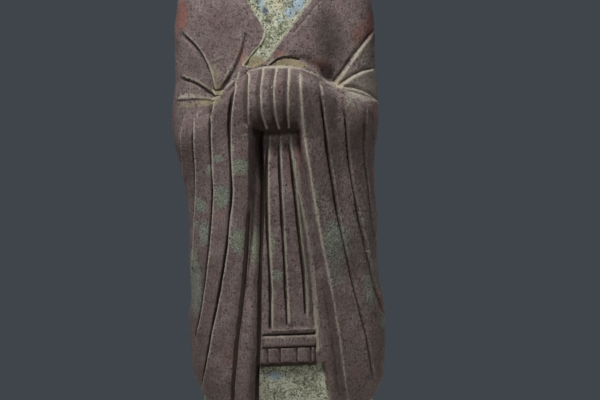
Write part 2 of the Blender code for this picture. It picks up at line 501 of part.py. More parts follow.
def robe_surface(angle, z):
    """Points of the robed body, from the skirt's hem to the neck, for arrays of angle and height."""
    x, y, is_robe, share = plain_body(angle, z)
    out_x, out_y, lean = facing_out(x, y)
    front = at_front(angle)
    swell = SWELL * np.cos(0.5 * math.pi * np.clip((z - SWELL_MIDDLE) / SWELL_HALF, -1, 1))
    hands = HAND_BULGE * smooth((z - HAND_START) / (HAND_FULL - HAND_START)) + swell
    hands *= np.clip(1 - (x / HAND_REACH) ** 2, 0, 1) * share
    cut = np.where(is_robe | (np.abs(x) < SKIRT_SIDE), recess(x, z), 0.0) * (z > SLEEVE_HEM)
    floor = -through(SKIRT_FRONT, z)
    y = np.where(front > 0, y - front * hands, y)
    y = np.where(front > 0, np.minimum(y + front * cut, np.maximum(floor, y)), y)

    relief = np.where(is_robe, front * fold_relief(x, z, lean), 0.0)
    relief += front * (fringe_relief(x, z) + collar_relief(x, z) + forearm_relief(x, z))
    relief += np.where((z > CREASE_BOTTOM) & (z < CREASE_TOP), front * crease_relief(x, z), 0.0)
    relief += np.where(is_robe, (1 - front) * back_relief(angle, z), 0.0)
    return np.stack([x + out_x * relief + sway(z), y + out_y * relief, z], axis=-1)


def even_steps(density, low, high, count):
    """count + 1 places from low to high, closer together where density is higher."""
    fine = np.linspace(low, high, 4001)
    total = np.concatenate([[0.0], np.cumsum(density(0.5 * (fine[1:] + fine[:-1])))])
    return np.interp(np.linspace(0, total[-1], count + 1), total, fine)


def column_density(angle):
    """How close together the columns are around the body: closest on its front."""
    facing = np.cos(angle)
    around = np.hypot(SIDE_RADIUS * facing, BACK_RADIUS * np.sin(angle))
    return around * (BACK_COLUMNS + (1 - BACK_COLUMNS) * smooth((facing - SIDE_COSINE) / SIDE_RAMP))


def row_density(z):
    """How close together the rows are."""
    closer = sum(more * bump(z - middle, half_height) for middle, half_height, more in CLOSER_ROWS)
    return 1 + closer + CLOSER_AT_NECK * smooth((z - LEVEL_ROWS) / NECK_RAMP)


def robe_grid(columns, rows):
    """Angles and heights all over the robed body. The rows follow the arch across the front."""
    angle = even_steps(column_density, -math.pi, math.pi, columns)[:-1]
    z = even_steps(row_density, -SINK / SCALE, TOP_OF_ROBE, rows)
    angle, z = np.meshgrid(angle, z)
    x = plain_body(angle, z)[0]
    pull = smooth((z - UNDER_HANDS) / (ARCH_TOP - UNDER_HANDS))
    pull *= smooth((LEVEL_ROWS - z) / (LEVEL_ROWS - ARCH_TOP))
    pull *= smooth(np.cos(angle) / PULL_BLEND)
    return angle, z + pull * np.maximum(arch(x) - ARCH_TOP, -ARCH_DROP_LEFT)


def tube_rings(path, across, along, half_widths, half_heights, columns, power=2.0):
    """Level or tilted superellipse rings on the points of a path. across is each ring's sideways direction
    and along its other one; the path runs along the cross product of across and along."""
    turn = np.linspace(0, 2 * math.pi, columns, endpoint=False)
    share = (np.abs(np.cos(turn)) ** power + np.abs(np.sin(turn)) ** power) ** (-1 / power)
    sideways = (np.cos(turn) * share)[None, :, None] * np.asarray(half_widths, float)[:, None, None]
    other = (np.sin(turn) * share)[None, :, None] * np.asarray(half_heights, float)[:, None, None]
    across, along = np.asarray(across)[:, None], np.asarray(along)[:, None]
    return np.asarray(path)[:, None] + sideways * across + other * along


def neck_rings(columns, rows):
    """The horse's neck, which leans a little back and reaches down into the collar."""
    z = np.linspace(NECK[0][0], NECK[-1][0], rows)
    table = np.array(NECK, float)
    forward = through(table[:, (0, 1)], z)
    path = np.stack([np.zeros(rows), -forward, z], axis=-1)
    across, along = np.tile((1.0, 0.0, 0.0), (rows, 1)), np.tile((0.0, 1.0, 0.0), (rows, 1))
    widths, depths = through(table[:, (0, 2)], z), through(table[:, (0, 3)], z)
    return tube_rings(path, across, along, widths, depths, columns)


def head_axes():
    """Where the head starts, its forward direction, and the direction out of its brow."""
    pitch = math.radians(HEAD_PITCH)
    start = np.array([0.0, -HEAD_BACK[0], HEAD_BACK[1]])
    ahead = np.array([0.0, -math.cos(pitch), -math.sin(pitch)])
    brow = np.array([0.0, -math.sin(pitch), math.cos(pitch)])
    return start, ahead, brow


def head_rings(columns, rows):
    """The horse's head from the back of its skull to its muzzle, with brows, cheeks, nostrils and mouth."""
    start, ahead, brow = head_axes()
    ends = 0.5 - 0.5 * np.cos(np.linspace(0, math.pi, rows))
    share = 0.5 * ends + 0.5 * np.linspace(0, 1, rows)
    table = np.array(HEAD, float)
    path = start + ahead * (share * HEAD_LENGTH)[:, None]
    across, along = np.tile((-1.0, 0.0, 0.0), (rows, 1)), np.tile(brow, (rows, 1))
    widths, heights = through(table[:, (0, 1)], share), through(table[:, (0, 2)], share)
    rings = tube_rings(path, across, along, widths, heights, columns, HEAD_ROUNDNESS)
    turn = np.linspace(0, 2 * math.pi, columns, endpoint=False)
    from_brow = np.degrees(np.abs(np.arctan2(np.cos(turn), np.sin(turn))))
    out = rings - path[:, None]
    out /= np.maximum(np.linalg.norm(out, axis=-1, keepdims=True), 1e-9)
    around = np.radians(from_brow)[None] * (0.5 * (widths + heights))[:, None]
    relief = np.zeros(rings.shape[:2])
    for place, angle, height, radius_along, radius_across in FEATURES:
        gap_along = (share - place)[:, None] * HEAD_LENGTH / radius_along
        gap_across = (around - math.radians(angle) * (0.5 * (widths + heights))[:, None]) / radius_across
        relief += height * bump(np.hypot(gap_along, gap_across), 1.0)
    mouth = (around - math.radians(MOUTH_ANGLE) * (0.5 * (widths + heights))[:, None]) / MOUTH_HALF_WIDTH
    relief -= MOUTH_DEPTH * bump(mouth, 1.0) * smooth((share - MOUTH_START) / MOUTH_FADE)[:, None]
    return rings + out * relief[..., None]


def mane_rings(columns, rows):
    """The cropped mane: a notched ridge from the forelock over the head and down the back of the neck."""
    places = np.array(MANE, float)
    steps = np.concatenate([[0.0], np.cumsum(np.linalg.norm(np.diff(places, axis=0), axis=1))])
    at = np.linspace(0, steps[-1], rows)
    path = np.stack([np.zeros(rows), -through(np.stack([steps, places[:, 0]], -1), at),
                     through(np.stack([steps, places[:, 1]], -1), at)], axis=-1)
    ahead = np.gradient(path, axis=0)
    ahead /= np.linalg.norm(ahead, axis=1, keepdims=True)
    across = np.tile((1.0, 0.0, 0.0), (rows, 1))
    along = np.cross(ahead, across)
    share = np.linspace(0, 1, rows)
    end = np.sqrt(np.clip(1 - (2 * share - 1) ** 8, 0.04, 1))
    notch = MANE_NOTCH * np.cos(share * MANE_NOTCH_COUNT * 2 * math.pi)
    return tube_rings(path, across, along, MANE_HALF_WIDTH * end, MANE_HALF_HEIGHT * end + notch, columns)


def ear_rings(side, columns, rows):
    """One pointed ear, hollowed at its front."""
    table = np.array(EAR, float)
    share = np.linspace(0, 1, rows)
    base = np.array([side * EAR_BASE[0], -EAR_BASE[1], EAR_BASE[2]])
    tip = np.array([side * EAR_TIP[0], -EAR_TIP[1], EAR_TIP[2]])
    path = base + (tip - base) * share[:, None]
    ahead = (tip - base) / np.linalg.norm(tip - base)
    across = np.tile((1.0, 0.0, 0.0), (rows, 1))
    along = np.cross(ahead, across)
    widths, depths = through(table[:, (0, 1)], share), through(table[:, (0, 2)], share)
    rings = tube_rings(path, across, along, widths, depths, columns)
    turn = np.linspace(0, 2 * math.pi, columns, endpoint=False)
    front = np.clip(-np.sin(turn), 0, 1) ** 4
    hollow = EAR_HOLLOW * np.sin(math.pi * np.clip(share * 1.1, 0, 1))
    return rings + (front[None, :] * hollow[:, None])[..., None] * along[:, None]


def base_rings(columns):
    """The low base: the outline of the skirt's hem and its margins, with a rounded upper edge."""
    turn = np.linspace(-math.pi, math.pi, columns, endpoint=False)
    margin, rounding = BASE_MARGIN / SCALE, BASE_ROUNDING / SCALE
    half_width = SKIRT_HALF_WIDTH[0][1] + margin
    front = SKIRT_FRONT[0][1] + margin + BASE_FRONT_EXTRA / SCALE
    back = SKIRT_BACK[0][1] + margin
    turns = np.linspace(0, math.pi / 2, 5)
    levels = [(-BASE_HEIGHT / SCALE, 0.0)]
    levels += [(rounding * (math.sin(a) - 1), rounding * (1 - math.cos(a))) for a in turns]
    rings = []
    for z, inset in levels:
        reach = oval(turn, half_width - inset, front - inset, back - inset)
        rings.append(np.stack([reach * np.sin(turn), -reach * np.cos(turn), np.full(columns, z)], axis=-1))
    return np.array(rings)


def loft(name, rings):
    """A closed mesh through rings of points, each running anticlockwise when the next one is nearer."""
    rows, columns = rings.shape[:2]
    index = np.arange(rows * columns).reshape(rows, columns)
    beside = np.roll(index, -1, axis=1)
    walls = np.stack([index[:-1], beside[:-1], beside[1:], index[1:]], axis=-1).reshape(-1, 4)
    faces = [*map(tuple, walls.tolist()), tuple(index[0][::-1].tolist()), tuple(index[-1].tolist())]
    mesh = bpy.data.meshes.new(name)
    mesh.from_pydata(placed(rings.reshape(-1, 3)).tolist(), [], faces)
    return bpy.data.objects.new(name, mesh)


def placed(points):
    """Points of the free form, in the part's own frame: metres, with the base's underside at no height."""
    forward = 0.5 * (SKIRT_FRONT[0][1] + BASE_FRONT_EXTRA / SCALE - SKIRT_BACK[0][1])
    return np.asarray(points) * SCALE + (0.0, forward * SCALE, BASE_HEIGHT)


def ball(name, middle, half_sizes, segments, rings):
    """A closed rounded lump, with its middle and half sizes on the free form."""
    bpy.ops.mesh.primitive_uv_sphere_add(segments=segments, ring_count=rings)
    lump = bpy.context.object
    lump.name = name
    lump.location = placed(middle)
    lump.scale = Vector(half_sizes) * SCALE
    return lump


def shoe(side):
    """The rounded toe of one shoe."""
    middle = (side * SHOE_X, -SHOE_FORWARD, SHOE_Z)
    return ball("shoe_left" if side < 0 else "shoe_right", middle, SHOE_SIZE, *SHOE_COUNTS)


def eye(side):
    """One of the horse's eyes, a ball set into its socket."""
    start, ahead, brow = head_axes()
    table = np.array(HEAD, float)
    angle = math.radians(EYE_ANGLE)
    half_width = float(through(table[:, (0, 1)], EYE_SHARE))
    half_height = float(through(table[:, (0, 2)], EYE_SHARE))
    out = np.array([side * math.sin(angle), 0.0, 0.0]) + brow * math.cos(angle)
    reach = (abs(math.sin(angle) / half_width) ** HEAD_ROUNDNESS
             + abs(math.cos(angle) / half_height) ** HEAD_ROUNDNESS) ** (-1 / HEAD_ROUNDNESS)
    middle = start + ahead * (EYE_SHARE * HEAD_LENGTH) + out * (reach - EYE_DEPTH)
    return ball("eye_left" if side < 0 else "eye_right", middle, (EYE_RADIUS,) * 3, *EYE_COUNTS)


def thin_out(target, triangles):
    """Keeps a mesh's shape with about this many triangles."""
    faces = sum(len(face.vertices) - 2 for face in target.data.polygons)
    fewer = target.modifiers.new("fewer faces", "DECIMATE")
    fewer.ratio = min(1.0, triangles / faces)
    fewer.use_collapse_triangulate = True


def painted_clay():
    """Fired grey clay with worn purple-brown pigment."""
    material = bpy.data.materials.new("painted_pottery")
    material.use_nodes = True
    surface = material.node_tree.nodes["Principled BSDF"]
    surface.inputs["Base Color"].default_value = CLAY_COLOUR
    surface.inputs["Roughness"].default_value = CLAY_ROUGHNESS
    surface.inputs["Metallic"].default_value = 0.0
    return material


def gather(name, members):
    """A collection of the scene with these objects in it and nowhere else."""
    group = bpy.data.collections.new(name)
    bpy.context.scene.collection.children.link(group)
    for member in members:
        for old in list(member.users_collection):
            old.objects.unlink(member)
        group.objects.link(member)
    return group


def main():
    for old in list(bpy.data.objects):
        bpy.data.objects.remove(old)

    figure = loft("zodiac_figurine", robe_surface(*robe_grid(COLUMN_COUNT, ROW_COUNT)))
    thin_out(figure, TRIANGLE_COUNT)
    joined = [
        loft("neck", neck_rings(*NECK_COUNTS)),
        loft("head", head_rings(*HEAD_COUNTS)),
        loft("mane", mane_rings(*MANE_COUNTS)),
        loft("ear_left", ear_rings(-1, *EAR_COUNTS)),
        loft("ear_right", ear_rings(1, *EAR_COUNTS)),
        loft("base", base_rings(BASE_COUNT)),
        shoe(-1),
        shoe(1),
        eye(-1),
        eye(1),
    ]
    for piece in joined:
        union = figure.modifiers.new("join " + piece.name, "BOOLEAN")
        union.operation = "UNION"
        union.object = piece
        piece.hide_render = True
        piece.display_type = "WIRE"

    figure.data.materials.append(painted_clay())
    figure.data.shade_smooth()
    figure.data.set_sharp_from_angle(angle=SHARP_ANGLE)
    gather("zodiac_tomb_figurine", [figure])
    gather("joined_forms", joined)


main()
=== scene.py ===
"""The looks of the painted pottery zodiac figurine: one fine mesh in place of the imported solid, with worn
paint and soil over fired clay, on a pale floor in soft studio light, seen at the photograph's angle.

Everything is in metres, with the middle of the base's underside at the origin. The figure faces -Y.
"""

import math

import bpy
import numpy as np
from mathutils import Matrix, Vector
from mathutils.kdtree import KDTree


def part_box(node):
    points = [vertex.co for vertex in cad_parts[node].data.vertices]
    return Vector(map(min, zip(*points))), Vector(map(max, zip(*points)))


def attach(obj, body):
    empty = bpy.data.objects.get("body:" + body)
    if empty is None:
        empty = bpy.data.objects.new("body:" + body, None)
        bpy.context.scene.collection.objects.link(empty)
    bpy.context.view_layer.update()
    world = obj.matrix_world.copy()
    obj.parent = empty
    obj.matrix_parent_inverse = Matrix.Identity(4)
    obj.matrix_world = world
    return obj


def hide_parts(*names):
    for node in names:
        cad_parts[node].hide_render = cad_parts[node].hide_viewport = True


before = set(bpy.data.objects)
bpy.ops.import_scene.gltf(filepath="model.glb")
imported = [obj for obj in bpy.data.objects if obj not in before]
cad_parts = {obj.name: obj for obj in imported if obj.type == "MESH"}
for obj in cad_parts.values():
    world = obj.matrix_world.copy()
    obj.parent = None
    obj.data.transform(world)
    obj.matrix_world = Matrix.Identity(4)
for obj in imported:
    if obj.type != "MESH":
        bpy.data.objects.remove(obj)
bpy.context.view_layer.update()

# The form's sizes are in millimetres, on a figure FORM_HEIGHT tall over a base BASE_HEIGHT thick. They scale
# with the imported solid's own height.
FORM_HEIGHT, BASE_HEIGHT = 390, 10
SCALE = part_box("zodiac_figurine")[1].z / (FORM_HEIGHT + BASE_HEIGHT)
BASE_MARGIN, BASE_FRONT_EXTRA, BASE_ROUNDING, BASE_EDGE_COUNT = 4.5, 5, 2.5, 5
SINK = 1  # the robe reaches this far down into the base

# Half widths of the robe and its sleeves on each side, as (height, half width).
LEFT_WIDTH = (
    (20, 30), (26, 36), (35, 42), (45, 47.2), (56, 52.2), (68, 56.4), (84, 57.6), (95, 57.9),
    (106, 56.6), (129, 56.4), (141, 55.4), (153, 54.3), (165, 54.8), (176, 55.8), (188, 57.4), (200, 60),
    (212, 60.7), (224, 59.6), (236, 58.6), (253, 58.6), (263, 58.9), (271, 58), (281, 56.6), (289, 52),
    (296, 44.5), (302, 35.5), (307, 28), (312, 24),
)
RIGHT_WIDTH = (
    (20, 33), (26, 39), (35, 44.5), (43, 48.8), (49, 52.6), (57, 56.4), (66, 56.8), (78, 57.5),
    (90, 57.2), (101, 56.4), (113, 54.9), (125, 54.4), (137, 54.8), (149, 56), (172, 56.4), (186, 56.9),
    (196, 58.8), (208, 60.6), (219, 60.9), (231, 60.1), (249, 58.9), (263, 59), (272, 58.3), (280, 56.8),
    (287, 52.5), (295, 44), (301, 35.5), (306, 28.5), (312, 24),
)
SLEEVE_DEPTH = ((20, 38), (28, 40), (45, 41), (80, 42), (150, 42), (200, 43), (240, 42))
CHEST_DEPTH = (
    (200, 30), (245, 31), (263, 30), (281, 28.5), (292, 27), (300, 25.5), (306, 24), (312, 22),
)
BACK_DEPTH = (
    (20, 28), (27, 31.5), (60, 33), (110, 32), (160, 30.5), (200, 31), (240, 32.5), (270, 32),
    (290, 29), (300, 27), (306, 25), (312, 22.5),
)
SKIRT_HALF_WIDTH = ((0, 53.5), (8, 51.8), (20, 50.4), (45, 49.6), (80, 47), (120, 40))
SKIRT_FRONT = ((0, 38.5), (8, 36.8), (20, 35.5), (45, 34.8), (80, 33), (120, 30))
SKIRT_BACK = ((0, 34), (8, 32.3), (20, 31), (45, 29.5), (80, 28), (120, 26))
SLEEVE_HEM, TOP_OF_ROBE = 22, 312
ROUNDNESS = 2.44  # the power of the superellipse that each level section follows
SWAY = 1.5  # the body swings this far to each side of its axis
SWAY_MIDDLE, SWAY_LENGTH = 155, 200

# Where the folds of the sleeves and apron cross seven levels, counted from the middle of the figure.
FOLD_LEVELS = (45, 80, 110, 140, 175, 205, 240)
FOLD_X = {
    "left_edge": (-66, -63, -61, -59, -56.1, -54.5, -51.5),
    "left_outer": (-60, -57, -56, -53.1, -48.7, -46.7, -44),
    "left_middle": (-62, -55, -48.4, -43, -38.2, -37.7, -34),
    "left_front": (-51.9, -45.6, -38.9, -32.2, -26.9, -26.5, -21.3),
    "left_inner": (-32.6, -29.5, -25.1, -20.7, -16.7, -14.9, -14.6),
    "apron_left": (-17.8, -16.5, -15.3, -12.3, -8.6, -7.5, -7),
    "apron_1": (-10.6, -10.2, -9.3, -8.8, -6.6, -4.2, -4),
    "apron_2": (0.1, 0, -0.4, 0.1, 1.2, 1.9, 1.1),
    "apron_3": (10.8, 10.9, 10.9, 9.7, 8.9, 7.1, 6.3),
    "apron_4": (17.1, 16.5, 14.8, 13.3, 9.9, 8.8, 8),
    "apron_right": (24.3, 18.6, 16.6, 15, 11.4, 10.2, 9),
    "right_inner": (33, 28.3, 24, 20.1, 17.2, 14.7, 13),
    "right_front": (52, 46.2, 39.5, 34.4, 31.4, 28.7, 25.5),
    "right_middle": (66, 61, 52.4, 47.5, 42.6, 40.9, 39.7),
    "right_outer": (66, 62, 58.5, 53.5, 51.7, 50.3, 49.6),
    "right_edge": (66, 63, 60.5, 58.5, 56.9, 56.2, 55.1),
}
# Each fold is a groove with a raised edge on its right: top, bottom, groove depth, groove half width,
# height of the edge, and how far the edge takes to die away. From SLOT_DEPTH on the groove of an edge is a
# slot, and up to DIP_DEPTH it is a soft dip. A groove without an edge is always soft.
SLOT_DEPTH, DIP_DEPTH = 2, 1.6
FOLDS = (
    ("left_edge", 219, 176, 2.1, 0.9, 0.9, 4),
    ("left_outer", 221, 122, 2.6, 1.1, 1, 5),
    ("left_middle", 232, 83, 2.6, 1.1, 1, 6),
    ("left_front", 243, 50, 2.7, 1.15, 1.2, 6),
    ("left_inner", 172, 20, 2.6, 1.6, 0, 4),
    ("apron_left", 200, 24, 2.8, 1.5, 0, 4),
    ("apron_1", 205, 86, 2.2, 1, 1.4, 3),
    ("apron_2", 205, 88, 2.2, 0.9, 1.4, 3),
    ("apron_3", 205, 94, 2.3, 1, 1.5, 2),
    ("apron_4", 190, 71, 1.3, 0.9, 1.7, 1.8),
    ("right_inner", 241, 20, 1.2, 1.6, 1.8, 4.5),
    ("right_inner", 120, 20, 1.4, 2.2, 0, 4.5),
    ("right_front", 234, 55, 2.1, 0.8, 0.7, 6),
    ("right_front", 222, 150, 1.2, 0.7, 0, 6),
    ("right_middle", 227, 92, 2.2, 0.8, 0.5, 5),
    ("right_middle", 165, 92, 1.8, 1.1, 0, 5),
    ("right_outer", 219, 132, 2.3, 0.9, 0.3, 4),
    ("right_edge", 214, 180, 2.2, 0.9, 0.3, 3),
)
# The height over which a fold's edge begins and ends, and over which its groove deepens by a millimetre.
FADE_AT_TOP, FADE_AT_BOTTOM, DEEPENING = 9, 4, 10
# In half widths of a groove: how far its slot reaches left and right of the fold's line and how wide the
# slot's right wall is, how far a dip reaches left and right, and the width over which the edge rises.
SLOT_LEFT, SLOT_RIGHT, SLOT_WALL, DIP_LEFT, DIP_RIGHT, EDGE_RISE = 1.6, 0.7, 0.6, 2, 0.4, 0.9
LEAST_LEAN = 0.25  # where the surface turns away, a fold spreads no further than this squareness asks for

# The raised edges that run over the hands, by where they cross four levels.
RIB_LEVELS = (204, 213, 225, 240)
RIBS = ((-16.5, -16.5, -16.5, -15.4), (-6.2, -8.6, -9.3, -7.5), (0.7, -1, -1.7, 0), (6.4, 6.4, 6.6, 7.2))
RIB_SIZES = (1.6, 1.4, 1.2, 4)  # groove depth and half width, height of the edge, how far it dies away
RIB_FADE_TOP, RIB_FADE_BOTTOM = 3, 1.5  # the heights over which a rib begins and ends

# The top edge of the joined sleeves, an arch over the hands that ends in the crook of each arm.
ARCH_TOP, ARCH_MIDDLE = 241, 4
ARCH_REACH_LEFT, ARCH_DROP_LEFT = 42, 22.5
ARCH_REACH_RIGHT, ARCH_DROP_RIGHT = 36, 15.6
LEFT_FALL, RIGHT_FALL = 0.50, 0.34  # how steeply the sleeves' top edge falls on beyond the crooks
ROLL_RADIUS = 13  # rounding of the sleeves' top edge
# Beyond the elbows the arch gives way, over ELBOW_FADE, to a slope that starts ELBOW_ABOVE the arch.
ELBOW_LEFT, ELBOW_RIGHT, ELBOW_FADE, ELBOW_ABOVE, ELBOW_SLOPE = -46, 54, 12, 14, 34
# The forearms swell below the arch beyond the crooks: where that starts, is full and ends to each side, its
# height on the left and on the right, and over what height it rises and falls away.
FOREARM_START, FOREARM_FULL, FOREARM_END = 36, 48, 62
FOREARM_LEFT, FOREARM_RIGHT, FOREARM_RISE, FOREARM_FALL = 2, 4.8, 9, 26
# The hands under the sleeves: how far they bulge and reach to each side, and the heights where the bulge
# starts and is full. Their own swell over it has a middle height and a half height.
HAND_BULGE, HAND_REACH, HAND_START, HAND_FULL = 8, 36, 100, 190
SWELL, SWELL_MIDDLE, SWELL_HALF = 7, 222, 24
# The underside of the joined sleeves: its height, and its rise to the left of UNDER_LEFT.
UNDER_HANDS, UNDER_RISE, UNDER_LEFT = 203, 3.5, -4
UNDER_RADIUS, UNDER_ROUNDING = 17, 8.5  # how high and how deep that underside rounds up to the front

# How far the parts between the sleeves lie behind the sleeves' own surface, as (height, depth).
LEFT_RECESS = ((20, 1), (70, 1.6), (110, 3.6), (150, 10.2), (180, 15.5), (203, 18.5))
RIGHT_RECESS = ((20, 1.2), (70, 1.8), (110, 2.4), (150, 3.6), (180, 6), (203, 8))
APRON_RECESS = ((20, 3.4), (70, 3.6), (110, 4.8), (150, 6.6), (180, 8.6), (203, 11))
APRON_LEAN = ((120, 0), (180, 1.5), (203, 2.5))  # its left side lies this much deeper and its right less
LEFT_CROWN = 2.4  # the left panel bulges like a roll of cloth
LEFT_FLANK = ((60, 6.5), (85, 4), (110, 1.8))  # how wide that roll's right side falls back to the apron
PANEL_EDGE = ((110, 3), (160, 4.6), (203, 5.6))  # how wide the left sleeve rounds over into the panel
PANEL_SHARE = 0.25  # the share of that width that lies on the sleeve's side of the fold
APRON_EDGE, RIGHT_EDGE = 1.4, 1.8  # widths of the other steps between the parts
SKIRT_SIDE = 34  # the parts between the sleeves cut into the skirt this far to each side

# The apron's lower border: a rib, a flat band and a row of pleats, then a step back to the skirt.
FRINGE_TOP, BAND_TOP, BAND_BOTTOM, FRINGE_BOTTOM = 87, 84, 77.1, 67.7
PLEAT_GAPS = (-11.6, -4.4, 5.4, 13.6, 16.2)
RIB_HEIGHT, RIB_WIDTH, LINE_DEPTH, LINE_WIDTH, BAND_HEIGHT = 1, 1.3, 1.3, 0.7, 0.7
PLEAT_SIZES = (1.5, 0.9, 1.1, 4)  # laid out like RIB_SIZES
FRINGE_STEP = 3.2
EDGE = 0.8  # the width over which flat relief starts and ends

# The neck opening. Its edges, as (height, distance from the middle), and its lower end the other way round.
COLLAR_LEFT = (
    (242.3, -18.9), (245.6, -16.2), (250.6, -12.2), (255.5, -7.9), (261.5, -6.3), (267.2, -9.1),
    (273.1, -12.4), (279, -15.3), (292, -20), (302, -22), (312, -21),
)
BAND_INNER = (
    (245, -15.1), (250, -10.9), (257, -7.1), (263, -2.7), (271, 6.4), (280, 15), (290, 19.5), (300, 20.5),
    (312, 17.5),
)
BAND_OUTER = (
    (243.8, -3.4), (250.7, 0.9), (256.9, 5.4), (263, 10.5), (270.1, 16.1), (276.4, 21), (283, 26),
    (291, 30), (301, 29), (312, 24),
)
COLLAR_FOOT = ((-22, 243.5), (-18.9, 241.6), (-15.7, 240.2), (-8.3, 242.6), (-3.8, 244.4), (4, 248))
COLLAR_STEP, COLLAR_BAND, COLLAR_RIM, LAPEL_RIM = 1.3, 0.8, 0.7, 1.4
LAPEL_TOP = 261.5  # below here the left edge of the opening is raised too

# Creases of the chest and elbows lie between two levels. Each has an outer end, bend, inner end, depth, half
# width, height of the raised edge beside it, and the side of that edge: 1 above it, -1 below it.
CREASE_BOTTOM, CREASE_TOP = 204, 292
CREASE_REACH = 2.4  # how far a crease's raised edge takes to die away
CREASE_START = 0.15  # the share of its length over which a crease grows from its outer end
CREASE_POINT_COUNT = 25  # how many points a crease's curve is followed by
CREASES = (
    ((-57, 264), (-38, 248.1), (-36.5, 228.5), 1.8, 1.3, 1.2, 1),
    ((-56.5, 236.4), (-44.9, 233.9), (-36.5, 225), 1.3, 1.1, 1.3, 1),
    ((-58, 222.4), (-50, 223.6), (-38, 222), 0.3, 1.1, 0.7, 1),
    ((-16.5, 262), (-16.5, 247), (-30.5, 228.5), 1.6, 1.9, 0.7, 1),
    ((59.5, 262.5), (45.5, 245.2), (36.4, 230.5), 1.6, 1, 1, -1),
    ((60.5, 238.5), (47.8, 237), (38.5, 228.3), 1.5, 1, 1.1, -1),
    ((62, 217), (55.5, 225.4), (41, 227.3), 1.2, 1, 1.1, -1),
    ((34, 286), (38, 256), (34.6, 233), 2, 7.5, 0, -1),
    ((6, 246.5), (24, 243), (35.5, 230), 1.7, 2.8, 0, 1),
    ((15.5, 243.2), (5, 249), (-3, 241), 0.9, 0.6, 1, 1),
    ((29, 279.5), (20.5, 269.5), (11, 259.5), 0.4, 0.8, 0.4, -1),
)
# The hollow in the crook of each arm: place, height, depth and radius.
CROOKS = ((-35.5, 226, 2, 5), (33, 233, 3.5, 5.5))

# Shallow folds of the back, as (angle from the back's middle in degrees, top, bottom, depth, half width).
BACK_FOLDS = (
    (-64, 225, 24, 2.2, 1.8), (-34, 170, 24, 1, 2), (-13, 185, 24, 1.1, 2.2), (9, 160, 24, 0.9, 2),
    (31, 180, 24, 1.1, 2.2), (63, 225, 24, 2.2, 1.8),
)
SIDE_RADIUS, BACK_RADIUS = 58, 38  # rough half width and half depth of the body
# The heights over which they begin and end, the share of their depth that their raised edge has, and how
# far that edge takes to die away.
BACK_FADE_TOP, BACK_FADE_BOTTOM, BACK_EDGE, BACK_REACH = 40, 6, 0.5, 6
SKIRT_FOLD_COUNT, SKIRT_FOLD_DEPTH, SKIRT_FOLD_TOP = 19, 1.1, 60
# Where the relief of the front begins and over what it becomes full, as cosines of the angle from the front.
FRONT_START, FRONT_BLEND = -0.02, 0.2

# The neck, as (height, middle, half width, half depth). Forward places count from the figure's axis.
NECK = (
    (300, 0, 21, 19.5), (312, 0, 20.2, 19.5), (325, -3, 18.4, 18), (340, -6.5, 16.8, 16.5),
    (354, -9, 15.2, 15), (364, -9.5, 12.5, 12.5), (370, -9, 8.5, 9),
)
# The head, as (share of its length, half width, half height), from the back of the skull to the muzzle.
HEAD_BACK, HEAD_LENGTH, HEAD_PITCH = (-10, 366), 64, 42
HEAD = (
    (0, 6.5, 6), (0.05, 12, 10.5), (0.16, 15.8, 14), (0.30, 17.2, 16), (0.42, 15.4, 14.6),
    (0.58, 12.2, 12), (0.75, 10.8, 10.2), (0.88, 11.8, 10.4), (0.95, 10.8, 9), (0.985, 8.2, 6.6),
    (1, 4.8, 3.8),
)
HEAD_ROUNDNESS = 2.3
# Features of the head, as (share of its length, angle from the brow in degrees, height, radius along, radius
# across). Each is made on both sides.
FEATURES = (
    (0.27, 42, 1.6, 5, 4),  # brow
    (0.36, 64, -1.4, 5, 4.2),  # socket
    (0.32, 122, 2.2, 8, 9),  # cheek
    (0.54, 96, 0.9, 6, 2),  # ridge of the face
    (0.91, 52, -2.6, 2.4, 1.8),  # nostril
    (0.90, 52, 1.2, 4.6, 3.6),  # rim of the nostril
    (0.93, 150, 0.9, 4, 5),  # chin
)
EYE_SHARE, EYE_ANGLE, EYE_RADIUS, EYE_DEPTH = 0.36, 64, 3.4, 1.9  # EYE_DEPTH is how deep the ball is set
MOUTH_ANGLE, MOUTH_DEPTH, MOUTH_HALF_WIDTH, MOUTH_START, MOUTH_FADE = 112, 1.3, 0.9, 0.80, 0.05
# The ears, as (share of their length, half width, half thickness).
EAR = ((0, 3.6, 3), (0.25, 5.2, 2.8), (0.55, 4.6, 2.2), (0.82, 2.6, 1.5), (1, 0.8, 0.7))
EAR_BASE, EAR_TIP = (8, -8, 364), (11.5, -5, 390)  # side, forward, height
# The hollow at an ear's front: its depth, how narrow it is, and how soon along the ear it ends.
EAR_HOLLOW, EAR_HOLLOW_POWER, EAR_HOLLOW_PACE = 1.5, 4, 1.1
# The mane, as (forward place, height), from the forelock over the head and down the back of the neck.
MANE = (
    (12, 362.5), (8.5, 368), (2, 372.5), (-6, 374), (-14, 372), (-20.5, 366), (-24, 356),
    (-24.5, 344), (-22.5, 328), (-20, 308),
)
MANE_HALF_WIDTH, MANE_HALF_HEIGHT, MANE_NOTCH_COUNT, MANE_NOTCH = 3.4, 5.5, 15, 0.6
MANE_END_POWER, MANE_END_LEAST = 8, 0.04  # how bluntly it ends, and the square of its least size there

LEVEL_ROWS = 285  # the robe's rows of points follow the arch up to this height
PULL_BLEND = 0.3  # and give that up towards the sides, over this cosine of the angle from the front
# Where the rows lie closer together, as (height, half height, how much closer): at the arch, under the hands
# and at the fringe. Above LEVEL_ROWS they do too, over a ramp.
CLOSER_ROWS = (
    (ARCH_TOP - 2, 5, 2.2),
    (UNDER_HANDS, 2.5, 2.5),
    (0.5 * (FRINGE_TOP + FRINGE_BOTTOM), 12, 1.2),
)
CLOSER_AT_NECK, NECK_RAMP = 3, 18
